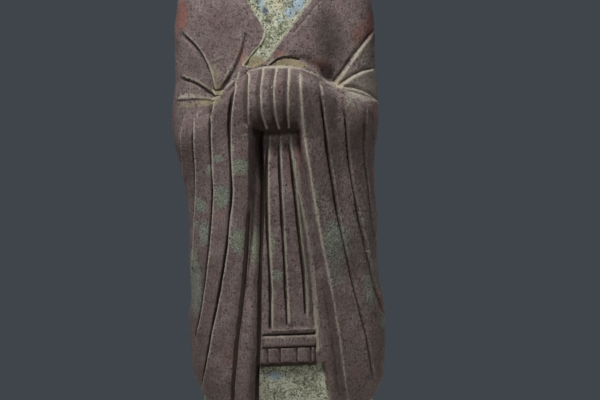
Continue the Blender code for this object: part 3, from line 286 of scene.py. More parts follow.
# How close the columns of the back lie, against those of the front, and the cosines over which that changes.
BACK_COLUMNS, SIDE_COSINE, SIDE_RAMP = 0.45, -0.25, 0.4
DENSITY_COUNT = 4001  # at how many places the closeness of rows and columns is summed up
# The toes of the shoes: place to each side, forward place, height, and half sizes.
SHOE_X, SHOE_FORWARD, SHOE_Z = 16, 33.5, 2
SHOE_SIZE = (10, 11.5, 6.5)
SHOE_COUNTS, EYE_COUNTS = (32, 16), (28, 16)  # points around, and along


def smooth(t):
    """0 below t = 0, 1 above t = 1, and an even S between."""
    t = np.clip(t, 0.0, 1.0)
    return t * t * (3.0 - 2.0 * t)


def bump(distance, half_width):
    """1 at no distance, dying away like a bell."""
    return np.exp(-((distance / half_width) ** 2))


def between(at, low, high, rise=EDGE, fall=EDGE):
    """1 between low and high and 0 beyond them, with soft steps that lie inside."""
    return smooth((at - low) / rise) * smooth((high - at) / fall)


def raised_edge(across, width, rise, reach):
    """The raised edge beside a groove: a soft step up, which dies away from the groove's half width on."""
    return smooth(across / rise) * np.exp(-np.maximum(across - width, 0) / reach)


def through(stations, at):
    """A smooth curve through (place, value) stations, which doesn't overshoot them."""
    place, value = np.array(stations, float).T
    gap = np.diff(place)
    slope = np.diff(value) / gap
    same_way = slope[:-1] * slope[1:]
    total = slope[:-1] + slope[1:]
    inner = np.where(same_way > 0, 2 * same_way / np.where(total == 0, 1.0, total), 0.0)
    tangent = np.concatenate([slope[:1], inner, slope[-1:]])
    at = np.clip(at, place[0], place[-1])
    k = np.clip(np.searchsorted(place, at, side="right") - 1, 0, len(gap) - 1)
    t = (at - place[k]) / gap[k]
    from_low = (1 + 2 * t) * (1 - t) ** 2 * value[k] + t * (1 - t) ** 2 * gap[k] * tangent[k]
    from_high = t * t * (3 - 2 * t) * value[k + 1] + t * t * (t - 1) * gap[k] * tangent[k + 1]
    return from_low + from_high


def curves(table, at):
    """For each further column of a table, the smooth curve through it over the first column."""
    place, *columns = np.array(table, float).T
    return [through(np.stack([place, column], axis=-1), at) for column in columns]


def oval(angle, half_width, front, back):
    """How far a level section reaches from its axis. Angle 0 faces the front, and +90 degrees is +X."""
    depth = np.where(np.cos(angle) > 0, front, back)
    across = np.abs(np.sin(angle) / half_width) ** ROUNDNESS
    along = np.abs(np.cos(angle) / depth) ** ROUNDNESS
    return (across + along) ** (-1 / ROUNDNESS)


def sway(z):
    """Sideways swing of the body's middle at each height."""
    turn = (z - SWAY_MIDDLE) / SWAY_LENGTH
    return -SWAY * np.sin(2 * math.pi * np.clip(turn, -0.5, 0.5))


def arch(x):
    """Height of the sleeves' top edge across the front."""
    left = np.clip((ARCH_MIDDLE - x) / ARCH_REACH_LEFT, 0, 1) ** 3
    right = np.clip((x - ARCH_MIDDLE) / ARCH_REACH_RIGHT, 0, 1) ** 2
    fall_left = LEFT_FALL * np.maximum(ARCH_MIDDLE - ARCH_REACH_LEFT - x, 0)
    fall_right = RIGHT_FALL * np.maximum(x - ARCH_MIDDLE - ARCH_REACH_RIGHT, 0)
    return ARCH_TOP - ARCH_DROP_LEFT * left - ARCH_DROP_RIGHT * right - fall_left - fall_right


def underside(x):
    """Height of the joined sleeves' underside across the front."""
    return UNDER_HANDS + UNDER_RISE * smooth((UNDER_LEFT - x) / UNDER_RADIUS)


def fold_x(name, z):
    """Where a named fold crosses height z."""
    return through(tuple(zip(FOLD_LEVELS, FOLD_X[name])), z)


def sleeve_share(x, z):
    """0 on the chest and 1 on the sleeves below it: a rounded step at the arch, a slope at the elbows."""
    below = arch(x) - z
    t = np.clip(below / ROLL_RADIUS, 0, 1)
    step = np.sqrt(1 - (1 - t) ** 2)
    slope = smooth((below + ELBOW_ABOVE) / ELBOW_SLOPE)
    outside = smooth((x - ELBOW_RIGHT) / ELBOW_FADE) + smooth((ELBOW_LEFT - x) / ELBOW_FADE)
    return step * (1 - outside) + slope * outside


def recess(x, z):
    """How far the panels, apron and skirt between the sleeves lie behind the sleeves' surface."""
    left, right = through(LEFT_RECESS, z), through(RIGHT_RECESS, z)
    left_inner, apron_left = fold_x("left_inner", z), fold_x("apron_left", z)
    apron_right, right_inner = fold_x("apron_right", z), fold_x("right_inner", z)
    leftward = 1 - 2 * np.clip((x - apron_left) / (apron_right - apron_left), 0, 1)
    apron = through(APRON_RECESS, z) + through(APRON_LEAN, z) * leftward
    apron += FRINGE_STEP * smooth((FRINGE_BOTTOM - z) / EDGE)
    flank, edge = through(LEFT_FLANK, z), through(PANEL_EDGE, z)
    roll = np.clip((x - left_inner) / (apron_left - flank / 2 - left_inner), 0, 1)
    depth = (
        left * smooth((x - left_inner + PANEL_SHARE * edge) / edge)
        + (apron - left) * smooth((x - apron_left - EDGE + flank) / flank)
        + (right - apron) * smooth((x - apron_right) / APRON_EDGE)
        - right * smooth((x - right_inner + RIGHT_EDGE) / RIGHT_EDGE)
        - LEFT_CROWN * np.sin(math.pi * roll)
    )
    middle = between(x, left_inner - 0.5 * edge, right_inner, edge, edge)
    above = z - underside(x)
    turn = np.clip(1 - above / UNDER_RADIUS, 0, 1)
    rounding = UNDER_ROUNDING * (1 - np.sqrt(1 - turn**2)) * middle
    under = smooth(0.5 - above / (2 * EDGE))
    return rounding * (1 - under) + depth * under


def pleat(across, depth, width, edge, reach):
    """A fold lying over its neighbour: the cloth dips, or where it is deep drops into a slot, then steps up
    to a raised edge."""
    slot = smooth(across / width + SLOT_LEFT) * smooth((SLOT_RIGHT - across / width) / SLOT_WALL)
    dip = bump(across, np.where(across < 0, DIP_LEFT, DIP_RIGHT) * width)
    groove = dip + (slot - dip) * smooth((depth - DIP_DEPTH) / (SLOT_DEPTH - DIP_DEPTH)) * bool(edge)
    return edge * raised_edge(across, width, EDGE_RISE * width, reach) - depth * groove


def fold_lines(x, z, lean):
    """For each named fold and each rib over the hands: how far across it lies, how strongly it shows, and
    its sizes. lean is how squarely the surface faces the front, so that a fold keeps its width where it
    turns away."""
    for name, top, bottom, depth, *sizes in FOLDS:
        across = (x - fold_x(name, z)) / np.sqrt(lean)
        shown = between(z, bottom, top, FADE_AT_BOTTOM, FADE_AT_TOP)
        yield across, shown, (depth * smooth((top - z) / (DEEPENING * depth)), *sizes)
    for crossings in RIBS:
        across = (x - through(tuple(zip(RIB_LEVELS, crossings)), z)) / lean
        shown = between(z, underside(x), arch(x) + 0.5 * EDGE, RIB_FADE_BOTTOM, RIB_FADE_TOP)
        yield across, shown, RIB_SIZES


def fold_relief(x, z, lean):
    """Grooves and raised edges of the folds and ribs."""
    return sum(shown * pleat(across, *sizes) for across, shown, sizes in fold_lines(x, z, lean))


def fringe_relief(x, z):
    """The rib, the band and the row of pleats along the apron's lower edge."""
    inside = between(x, fold_x("apron_left", z) + 2 * EDGE, fold_x("apron_4", z) + 0.5 * EDGE)
    rib = RIB_HEIGHT * bump(z - FRINGE_TOP, RIB_WIDTH) * smooth((x - fold_x("apron_1", z)) / RIB_WIDTH)
    band = BAND_HEIGHT * between(z, BAND_BOTTOM, BAND_TOP)
    line = bump(z - BAND_TOP - 0.5 * EDGE, LINE_WIDTH) + bump(z - BAND_BOTTOM, LINE_WIDTH)
    pleats = between(z, FRINGE_BOTTOM, BAND_BOTTOM - 0.5 * EDGE)
    gaps = sum(pleat(x - gap, *PLEAT_SIZES) for gap in PLEAT_GAPS)
    return inside * (rib + band - LINE_DEPTH * line + pleats * gaps)


def collar_relief(x, z):
    """The neck opening, cut back from the robe, with the raised band along its right side."""
    above = smooth((z - through(COLLAR_FOOT, x)) / (2 * EDGE) + 0.5)
    left, outer = through(COLLAR_LEFT, z), through(BAND_OUTER, z)
    opening, in_band = between(x, left, outer), between(x, through(BAND_INNER, z), outer)
    rim = in_band * bump(x - outer + 1.5 * EDGE, EDGE)
    lapel = opening * bump(x - left - EDGE, EDGE) * smooth((LAPEL_TOP - z) / EDGE)
    return above * (COLLAR_BAND * in_band + COLLAR_RIM * rim + LAPEL_RIM * lapel - COLLAR_STEP * opening)


def from_line(x, z, start, end):
    """For each point, the share of a straight line at which its nearest place lies, and the distances
    sideways and up from there."""
    run, rise = np.subtract(end, start)
    share = np.clip(((x - start[0]) * run + (z - start[1]) * rise) / (run**2 + rise**2), 0, 1)
    return share, x - start[0] - share * run, z - start[1] - share * rise


def crease_lines(x, z):
    """For each crease: the distance from it, that distance on the side of its raised edge or no distance on
    the other one, how strongly it shows, and its sizes."""
    samples = np.linspace(0, 1, CREASE_POINT_COUNT)
    weights = np.stack([(1 - samples) ** 2, 2 * samples * (1 - samples), samples**2])
    for start, bend, end, *sizes, side_of_edge in CREASES:
        path = weights.T @ np.array([start, bend, end], float)
        near, side, along = np.full(x.shape, np.inf), np.zeros_like(x), np.zeros_like(x)
        for i, (a, b) in enumerate(zip(path[:-1], path[1:])):
            t, dx, dz = from_line(x, z, a, b)
            distance = np.hypot(dx, dz)
            closer = distance < near
            near = np.where(closer, distance, near)
            side = np.where(closer, np.sign(dz), side)
            along = np.where(closer, (i + t) / len(samples), along)
        yield near, np.where(side == side_of_edge, near, 0.0), smooth(along / CREASE_START), sizes


def forearm_relief(x, z):
    """The roll of each forearm below the arch, beyond the crook."""
    below = arch(x) - z
    rise = np.clip(below / FOREARM_RISE, 0, 1)
    roll = np.sqrt(1 - (1 - rise) ** 2) * smooth(1 - (below - FOREARM_RISE) / FOREARM_FALL)
    roll *= smooth((np.abs(x) - FOREARM_START) / (FOREARM_FULL - FOREARM_START))
    roll *= smooth((FOREARM_END - np.abs(x)) / (FOREARM_END - FOREARM_FULL))
    return np.where(x < 0, FOREARM_LEFT, FOREARM_RIGHT) * roll


def crease_relief(x, z):
    """Creases of the chest and elbows, and the hollow in the crook of each arm."""
    relief = np.zeros_like(x)
    for near, beside, shown, (depth, width, edge) in crease_lines(x, z):
        relief -= depth * shown * bump(near, width)
        relief += edge * shown * raised_edge(beside, width, width, CREASE_REACH)
    for crook_x, crook_z, depth, radius in CROOKS:
        relief -= depth * bump(np.hypot(x - crook_x, z - crook_z), radius)
    return relief


def back_relief(angle, z):
    """Shallow folds down the back."""
    relief = np.zeros_like(z)
    for degrees, top, bottom, depth, width in BACK_FOLDS:
        turn = np.mod(angle, 2 * math.pi) - math.pi - math.radians(degrees)
        across = turn * BACK_RADIUS
        shape = BACK_EDGE * raised_edge(across, width, width, BACK_REACH) - bump(across, width)
        relief += depth * shape * between(z, bottom, top, BACK_FADE_BOTTOM, BACK_FADE_TOP)
    return relief


def plain_body(angle, z):
    """The body without its relief, for arrays of angle and height: its places sideways and in depth, where
    it is robe and not skirt, and the share of the sleeves in it."""
    half_width = np.where(np.sin(angle) < 0, through(LEFT_WIDTH, z), through(RIGHT_WIDTH, z))
    sleeve, chest = through(SLEEVE_DEPTH, z), through(CHEST_DEPTH, z)
    guess = oval(angle, half_width, sleeve, sleeve) * np.sin(angle)
    share = sleeve_share(guess, z)
    robe = oval(angle, half_width, chest + (sleeve - chest) * share, through(BACK_DEPTH, z))
    skirt = oval(angle, through(SKIRT_HALF_WIDTH, z), through(SKIRT_FRONT, z), through(SKIRT_BACK, z))
    skirt = skirt + SKIRT_FOLD_DEPTH * np.cos(angle * SKIRT_FOLD_COUNT) * smooth(1 - z / SKIRT_FOLD_TOP)
    robe = np.where(z < SLEEVE_HEM, 0.0, robe)
    skirt = np.where(z > SKIRT_HALF_WIDTH[-1][0], 0.0, skirt)
    reach = np.maximum(robe, skirt)
    return reach * np.sin(angle), -reach * np.cos(angle), robe > skirt, share


def facing_out(x, y):
    """The level direction out of the body at each point, and how squarely it faces the front or the back."""
    step_x, step_y = np.gradient(x, axis=1), np.gradient(y, axis=1)
    length = np.hypot(step_x, step_y)
    return step_y / length, -step_x / length, np.maximum(np.abs(step_x) / length, LEAST_LEAN)


def at_front(angle):
    """1 on the front of the figure, 0 on its back."""
    return smooth((np.cos(angle) - FRONT_START) / FRONT_BLEND)


def robe_surface(angle, z):
    """Points of the robed body, from the skirt's hem to the neck, for arrays of angle and height."""
    x, y, is_robe, share = plain_body(angle, z)
    out_x, out_y, lean = facing_out(x, y)
    front = at_front(angle)
    swell = SWELL * np.cos(0.5 * math.pi * np.clip((z - SWELL_MIDDLE) / SWELL_HALF, -1, 1))
    hands = HAND_BULGE * smooth((z - HAND_START) / (HAND_FULL - HAND_START)) + swell
    hands *= np.clip(1 - (x / HAND_REACH) ** 2, 0, 1) * share
    cut = np.where(is_robe | (np.abs(x) < SKIRT_SIDE), recess(x, z), 0.0) * (z > SLEEVE_HEM)
    floor = -through(SKIRT_FRONT, z)
    y = np.where(front > 0, y - front * hands, y)
    y = np.where(front > 0, np.minimum(y + front * cut, np.maximum(floor, y)), y)

    relief = np.where(is_robe, front * fold_relief(x, z, lean), 0.0)
    relief += front * (fringe_relief(x, z) + collar_relief(x, z) + forearm_relief(x, z))
    relief += np.where((z > CREASE_BOTTOM) & (z < CREASE_TOP), front * crease_relief(x, z), 0.0)
    relief += np.where(is_robe, (1 - front) * back_relief(angle, z), 0.0)
    return np.stack([x + out_x * relief + sway(z), y + out_y * relief, z], axis=-1)


def even_steps(density, low, high, count):
    """count + 1 places from low to high, closer together where density is higher."""
    fine = np.linspace(low, high, DENSITY_COUNT)
    total = np.concatenate([[0.0], np.cumsum(density(0.5 * (fine[1:] + fine[:-1])))])
    return np.interp(np.linspace(0, total[-1], count + 1), total, fine)


def column_density(angle):
    """How close together the columns are around the body: closest on its front."""
    facing = np.cos(angle)
    around = np.hypot(SIDE_RADIUS * facing, BACK_RADIUS * np.sin(angle))
    return around * (BACK_COLUMNS + (1 - BACK_COLUMNS) * smooth((facing - SIDE_COSINE) / SIDE_RAMP))


def row_density(z):
    """How close together the rows are."""
    closer = sum(more * bump(z - middle, half_height) for middle, half_height, more in CLOSER_ROWS)
    return 1 + closer + CLOSER_AT_NECK * smooth((z - LEVEL_ROWS) / NECK_RAMP)


def robe_grid(columns, rows):
    """Angles and heights all over the robed body. The rows follow the arch across the front."""
    angle = even_steps(column_density, -math.pi, math.pi, columns)[:-1]
    z = even_steps(row_density, -SINK, TOP_OF_ROBE, rows)
    angle, z = np.meshgrid(angle, z)
    x = plain_body(angle, z)[0]
    pull = smooth((z - UNDER_HANDS) / (ARCH_TOP - UNDER_HANDS))
    pull *= smooth((LEVEL_ROWS - z) / (LEVEL_ROWS - ARCH_TOP))
    pull *= smooth(np.cos(angle) / PULL_BLEND)
    return angle, z + pull * np.maximum(arch(x) - ARCH_TOP, -ARCH_DROP_LEFT)


def ring_angles(columns):
    """Angles of the points around a ring."""
    return np.linspace(0, 2 * math.pi, columns, endpoint=False)


def tube_rings(path, across, along, half_widths, half_heights, columns, power=2.0):
    """Superellipse rings on the points of a path. across is their sideways direction and along their other
    one, for each ring or for all. The path runs along the cross product of across and along."""
    turn = ring_angles(columns)
    share = (np.abs(np.cos(turn)) ** power + np.abs(np.sin(turn)) ** power) ** (-1 / power)
    sideways = np.multiply.outer(half_widths, np.cos(turn) * share)[..., None]
    other = np.multiply.outer(half_heights, np.sin(turn) * share)[..., None]
    return path[:, None] + sideways * np.atleast_2d(across)[:, None] + other * np.atleast_2d(along)[:, None]


def neck_rings(columns, rows):
    """The horse's neck, which leans a little back and reaches down into the collar."""
    z = np.linspace(NECK[0][0], NECK[-1][0], rows)
    forward, widths, depths = curves(NECK, z)
    path = np.stack([np.zeros(rows), -forward, z], axis=-1)
    return tube_rings(path, (1, 0, 0), (0, 1, 0), widths, depths, columns)


def head_axes():
    """Where the head starts, its forward direction, and the direction out of its brow."""
    pitch = math.radians(HEAD_PITCH)
    start = np.array([0.0, -HEAD_BACK[0], HEAD_BACK[1]])
    ahead = np.array([0.0, -math.cos(pitch), -math.sin(pitch)])
    brow = np.array([0.0, -math.sin(pitch), math.cos(pitch)])
    return start, ahead, brow


def head_rings(columns, rows):
    """The horse's head from the back of its skull to its muzzle, with brows, cheeks, nostrils and mouth."""
    start, ahead, brow = head_axes()
    ends = 0.5 - 0.5 * np.cos(np.linspace(0, math.pi, rows))
    share = 0.5 * ends + 0.5 * np.linspace(0, 1, rows)
    path = start + ahead * (share * HEAD_LENGTH)[:, None]
    widths, heights = curves(HEAD, share)
    rings = tube_rings(path, (-1, 0, 0), brow, widths, heights, columns, HEAD_ROUNDNESS)
    turn = ring_angles(columns)
    from_brow = np.abs(np.arctan2(np.cos(turn), np.sin(turn)))
    out = rings - path[:, None]
    out /= np.linalg.norm(out, axis=-1, keepdims=True)
    share, radius = share[:, None], 0.5 * (widths + heights)[:, None]
    relief = np.zeros(rings.shape[:2])
    for place, angle, height, radius_along, radius_across in FEATURES:
        gap_along = (share - place) * HEAD_LENGTH / radius_along
        gap_across = (from_brow - math.radians(angle)) * radius / radius_across
        relief += height * bump(np.hypot(gap_along, gap_across), 1.0)
    mouth = bump((from_brow - math.radians(MOUTH_ANGLE)) * radius, MOUTH_HALF_WIDTH)
    relief -= MOUTH_DEPTH * mouth * smooth((share - MOUTH_START) / MOUTH_FADE)
    return rings + out * relief[..., None]


def mane_rings(columns, rows):
    """The cropped mane: a notched ridge from the forelock over the head and down the back of the neck."""
    places = np.array(MANE, float)
    steps = np.concatenate([[0.0], np.cumsum(np.linalg.norm(np.diff(places, axis=0), axis=1))])
    forward, height = curves(np.column_stack([steps, places]), np.linspace(0, steps[-1], rows))
    path = np.stack([np.zeros(rows), -forward, height], axis=-1)
    ahead = np.gradient(path, axis=0)
    ahead /= np.linalg.norm(ahead, axis=1, keepdims=True)
    share = np.linspace(0, 1, rows)
    end = np.sqrt(np.clip(1 - (2 * share - 1) ** MANE_END_POWER, MANE_END_LEAST, 1))
    notch = MANE_NOTCH * np.cos(share * MANE_NOTCH_COUNT * 2 * math.pi)
    across = (1, 0, 0)
    along = np.cross(ahead, across)
    return tube_rings(path, across, along, MANE_HALF_WIDTH * end, MANE_HALF_HEIGHT * end + notch, columns)


def ear_rings(side, columns, rows):
    """One pointed ear, hollowed at its front."""
    share = np.linspace(0, 1, rows)
    base, tip = [np.array([side * x, -forward, z]) for x, forward, z in (EAR_BASE, EAR_TIP)]
    path = base + (tip - base) * share[:, None]
    across = (1, 0, 0)
    along = np.cross((tip - base) / np.linalg.norm(tip - base), across)
    rings = tube_rings(path, across, along, *curves(EAR, share), columns)
    front = np.clip(-np.sin(ring_angles(columns)), 0, 1) ** EAR_HOLLOW_POWER
    hollow = EAR_HOLLOW * np.sin(math.pi * np.clip(share * EAR_HOLLOW_PACE, 0, 1))
    return rings + np.multiply.outer(hollow, front)[..., None] * along


def base_rings(columns):
    """The low base: the outline of the skirt's hem and its margins, with a rounded upper edge."""
    turn = np.linspace(-math.pi, math.pi, columns, endpoint=False)
    hem = (SKIRT_HALF_WIDTH[0][1], SKIRT_FRONT[0][1] + BASE_FRONT_EXTRA, SKIRT_BACK[0][1])
    half_width, front, back = [reach + BASE_MARGIN for reach in hem]
    levels = [(-BASE_HEIGHT, 0)]
    for tilt in np.linspace(0, math.pi / 2, BASE_EDGE_COUNT):
        levels.append((BASE_ROUNDING * (math.sin(tilt) - 1), BASE_ROUNDING * (1 - math.cos(tilt))))
    rings = []
    for z, inset in levels:
        reach = oval(turn, half_width - inset, front - inset, back - inset)
        rings.append(np.stack([reach * np.sin(turn), -reach * np.cos(turn), np.full(columns, z)], axis=-1))
    return np.array(rings)


def linked(piece):
    """The piece, put into the scene."""
    bpy.context.scene.collection.objects.link(piece)
    return piece


def loft(name, rings):
    """A closed mesh through rings of points, each running anticlockwise when the next one is nearer."""
    rows, columns = rings.shape[:2]
    index = np.arange(rows * columns).reshape(rows, columns)
    beside = np.roll(index, -1, axis=1)
    walls = np.stack([index[:-1], beside[:-1], beside[1:], index[1:]], axis=-1).reshape(-1, 4)
    faces = [*map(tuple, walls.tolist()), tuple(index[0][::-1].tolist()), tuple(index[-1].tolist())]
    mesh = bpy.data.meshes.new(name)
    mesh.from_pydata(placed(rings.reshape(-1, 3)).tolist(), [], faces)
    return linked(bpy.data.objects.new(name, mesh))


def placed(points):
    """Points of the form in the part's own frame: metres, with the base's underside at no height."""
    forward = 0.5 * (SKIRT_FRONT[0][1] + BASE_FRONT_EXTRA - SKIRT_BACK[0][1])
    return (np.asarray(points) + (0, forward, BASE_HEIGHT)) * SCALE


def ball(name, middle, half_sizes, segments, rings):
    """A closed rounded lump, with its middle and half sizes on the form."""
    bpy.ops.mesh.primitive_uv_sphere_add(segments=segments, ring_count=rings)
    lump = bpy.context.object
    lump.name = name
    lump.location = placed(middle)
    lump.scale = Vector(half_sizes) * SCALE
    return lump


def shoe(side):
    """The rounded toe of one shoe."""
    middle = (side * SHOE_X, -SHOE_FORWARD, SHOE_Z)
    return ball("shoe_left" if side < 0 else "shoe_right", middle, SHOE_SIZE, *SHOE_COUNTS)


def eye(side):
    """One of the horse's eyes, a ball set into its socket."""
    start, ahead, brow = head_axes()
    half_width, half_height = curves(HEAD, EYE_SHARE)
    sine, cosine = math.sin(math.radians(EYE_ANGLE)), math.cos(math.radians(EYE_ANGLE))
    out = np.array([side * sine, 0.0, 0.0]) + brow * cosine
    reach = (sine / half_width) ** HEAD_ROUNDNESS + (cosine / half_height) ** HEAD_ROUNDNESS
    reach **= -1 / HEAD_ROUNDNESS
    middle = start + ahead * (EYE_SHARE * HEAD_LENGTH) + out * (reach - EYE_DEPTH)
    return ball("eye_left" if side < 0 else "eye_right", middle, (EYE_RADIUS,) * 3, *EYE_COUNTS)


# The fine grid of the robe, how many triangles it keeps, and the points around and along the other parts.
COLUMN_COUNT, ROW_COUNT, TRIANGLE_COUNT = 560, 600, 161500
NECK_COUNTS, HEAD_COUNTS, MANE_COUNTS, EAR_COUNTS, BASE_COUNT = (80, 36), (116, 92), (20, 160), (24, 20), 160
SHARP_ANGLE = math.radians(55)
SHOE_CLAY = 0.6  # how strongly the shoes show the bare clay

# Slow unevenness of clay pressed by hand, as (wave length, height). Each has several waves, with lengths and
# starts drawn between limits. It begins PRESS_START above the base's underside and is full PRESS_RISE higher.
UNEVENNESS = ((46, 0.26), (21, 0.14), (9, 0.06), (4.5, 0.03), (2.6, 0.03))
WAVES_OF_EACH, WAVE_SEED, WAVE_LENGTHS, WAVE_STARTS = 5, 11, (0.75, 1.3), (0, 6.3)
PRESS_START, PRESS_RISE = 1, 5

# What each point of the surface wears, from 0 to 1, painted shade and highlight among them. The material
# reads these by name.
MARKS = (
    "slip", "blue", "navy", "yellow", "worn", "groove", "soil",
    "green", "red", "painted_shade", "hair", "pupil", "clay",
)

# Patches on the front, as (sideways place, height, half width, half height, strength).
PATCH_REACH = 1.5  # a patch is strongest at its middle and has died away this many half sizes out
PATCHES = {
    "green": (
        (-40.5, 182, 2.4, 3.6, 1), (-35, 188, 3, 2.7, 1), (-23, 183, 5.2, 4.8, 1.1),
        (-34, 166, 4.8, 7.2, 1.1), (-47, 161, 4, 4.4, 1), (-45, 145, 4, 8, 1),
        (-25.7, 140, 5.8, 7.4, 1), (-4, 119, 3.8, 4.4, 0.9),
        (-52, 117, 4.4, 22, 0.95), (11, 143, 2.2, 4, 0.8), (41.5, 218, 2.2, 4, 0.7), (31, 137, 9, 16, 0.9),
        (22, 160, 8, 16, 0.5), (36, 190, 7, 16, 0.4), (30, 118, 9, 10, 0.6), (-20, 199, 1, 1.6, 1),
        (-28, 176, 2.6, 3.4, 0.7), (-38, 176, 2, 2, 0.8), (-50, 150, 2.6, 3.4, 0.8), (46, 150, 6, 12, 0.55),
        (34, 208, 9, 12, 0.4), (14, 205, 6, 14, 0.3), (32, 257, 8, 12, 0.6), (50, 110, 6, 16, 0.7),
        (-15.5, 136, 4.2, 12, 0.9), (-6, 137, 3.4, 8, 0.8), (1, 137, 3, 6, 0.5), (-37, 38, 6, 10, 0.5),
    ),
    "soil": (
        (-15.7, 136, 3.6, 10, 0.55), (-12.5, 243.5, 6.5, 3.4, 1.3), (-6, 136, 3, 7, 0.5),
        (-34.5, 227, 3, 6, 1.2), (-35.5, 237, 3.6, 10, 0.62),
        (-40, 221.5, 8, 2.6, 1.1), (-52, 220, 6, 2, 0.8),
        (-37, 229, 4.5, 3, 0.9), (38.5, 229, 4, 3.2, 1.2), (43, 226.5, 6, 2.2, 0.7), (44, 235, 5, 3, 0.4),
        (2.5, 241.8, 4, 2.2, 1.2), (8, 242.4, 6.5, 2.6, 1.3),
        (15, 240.6, 4.5, 2.2, 1), (21, 237.5, 4, 1.8, 0.6),
        (24, 50, 1.2, 9, 0.8), (-15, 50, 1.4, 12, 0.6), (6, 44, 14, 3, 0.4), (-26, 140, 5, 7, 0.42),
    ),
    "red": (
        (-54, 273, 4, 10, 1.15), (-59, 262, 2, 7, 1.1), (55.6, 264, 3, 9, 1.1), (38, 273, 8, 6, 0.45),
        (-35, 155, 4, 3, 0.8), (-57, 174, 3, 14, 0.75), (-34.6, 74, 5, 9, 0.6), (40, 61, 7, 6, 0.5),
        (54, 106, 5, 13, 0.6), (56, 214, 4, 8, 1), (-28, 264, 9, 9, 0.4), (20, 256, 7, 7, 0.45),
        (3, 228, 3, 3.5, 0.6), (12, 190, 3, 14, 0.75), (-45, 200, 5, 9, 0.4), (2, 100, 6, 12, 0.35),
        (7, 180, 5, 18, 0.55), (-4, 190, 2, 10, 0.6), (2, 247.5, 5, 2.2, 0.8), (26, 241, 8, 4, 0.8),
        (-20, 246, 3, 9, 0.75), (50, 256, 6, 10, 0.8), (-16, 120, 2, 10, 0.5), (-22, 190, 3, 1.6, 0.7),
    ),
    # Where the paint is worn lighter, with painted highlight on the right elbow and its outer edge, and where
    # painted shade darkens it.
    "worn": (
        (51, 221, 11, 4.5, 0.6), (57, 216, 5, 7, 0.4), (43, 227, 6, 3.4, 0.5), (-42, 221, 12, 5, 0.3),
        (48, 233, 11, 7, 0.65), (51, 247, 8, 8, 0.6), (-48, 226, 8, 4, 0.3), (36, 224, 8, 5, 0.35),
        (-26, 236, 4, 7, 0.35), (-50, 250, 4, 6, 0.2), (24, 231, 10, 5, 0.4), (6, 240, 12, 3, 0.3),
        (13.3, 108, 0.9, 18, 0.7), (17.6, 98, 1.1, 18, 0.55),
        (20.3, 78, 0.8, 8, 0.4), (56.5, 230, 6, 13, 0.75),
        (48, 223.5, 8, 4, 1), (47, 228, 7, 4, 0.6), (-51, 225.2, 8, 0.8, 0.8),
    ),
    # Painted shade: in hollows, in shadows cast by the hands and sleeves, and over the lower robe.
    "painted_shade": (
        (-42, 92, 18, 60, 0.24), (4, 78, 16, 10, 0.3), (32, 255, 9, 14, 1.05), (39, 264, 5, 22, 0.16),
        (-13, 165, 5, 34, 0.2), (2, 52, 24, 14, 0.25), (-48, 190, 12, 20, 0.3), (-44, 240, 7, 16, 0.35),
        (31, 66, 14, 44, 0.26), (2, 120, 14, 44, 0.22), (-20, 178, 5.5, 46, 0.36), (-2, 210, 20, 8, 0.5),
        (32, 135, 14, 26, 0.16), (-34, 205, 10, 20, 0.3), (-14.5, 51, 4.5, 18, 0.6), (37, 199, 10, 17, 0.72),
        (-12, 90, 8, 30, 0.1), (-36, 150, 14, 30, 0.16), (16, 108, 7, 26, 0.2), (35, 129, 9, 14, 0.6),
    ),
    # Paint on the slip of the neck opening and of the skirt.
    "blue": (
        (-7.5, 277, 2.6, 4, 0.8), (-11.5, 285, 2.5, 6, 0.8), (-16.5, 295, 2.5, 6, 0.7), (14.5, 277, 4, 5, 1),
        (9.5, 271.5, 3.6, 3.6, 0.9), (19.5, 284, 4, 6, 0.9),
        (24, 294, 4, 7, 0.8), (3.5, 267.5, 2.6, 2.6, 0.6),
        (-7, 60.5, 6, 3, 0.8), (-12, 62, 3, 2, 0.6), (5, 58, 4, 2, 0.3), (-9, 52, 4, 2.4, 0.35),
    ),
    "navy": (
        (-5.2, 273.5, 2.2, 2.6, 0.9), (-8.6, 279, 1.4, 2.4, 0.7), (11, 277, 0.9, 3.6, 0.8),
        (7, 273, 1, 1.6, 0.7), (-7.5, 60.5, 1.6, 0.9, 0.6), (-2.5, 61.5, 1.2, 0.7, 0.5),
    ),
    "yellow": (
        (-12, 276, 2, 4, 0.7), (2, 277, 5, 5, 0.75), (-1, 269, 3, 3, 0.6), (5, 288, 6, 8, 0.6),
        (12.5, 283, 2, 3, 0.5), (-17, 286, 1.5, 6, 0.6),
    ),
}
# Patches strewn over the sides and back, out of the photograph's sight: which marks take them in turn and at
# what share of their strength, and the limits of their turn around the body, height, half width, half height
# and strength. STREWN_RADIUS is the rough radius that they are laid out on.
STREWN_COUNT, STREWN_SEED, STREWN_RADIUS = 46, 5, 40
STREWN_SHARES = {"green": 1, "soil": 0.8, "red": 1}
STREWN_LIMITS = ((math.radians(75), math.radians(285)), (20, 300), (2.5, 8), (3, 14), (0.5, 0.95))
# Scratches through the paint, as (start, end, half width).
SCRATCHES = (
    ((-2.1, 109.2), (5.5, 113), 0.35), ((-21.5, 200.5), (-18, 201.3), 0.5),
    ((13.5, 247.2), (16.5, 250.6), 0.4), ((-51, 198), (-47, 200.5), 0.3),
    ((24, 131), (33, 128), 0.3), ((-58, 247), (-55.5, 243.5), 0.4),
    ((-4.5, 84.5), (3, 79.5), 0.3), ((44, 131), (52, 130.5), 0.25), ((-9, 225.5), (-2, 228), 0.5),
)

# Pale lines along the folds' edges, worn paint and painted highlight: their half width beside an edge 1 high,
# and the least height that widens them. Painted shade in the slots, by their depth.
WEAR_AND_HIGHLIGHT_HALF_WIDTH, LEAST_EDGE, SHADE_BY_DEPTH = 0.62, 0.8, 0.43
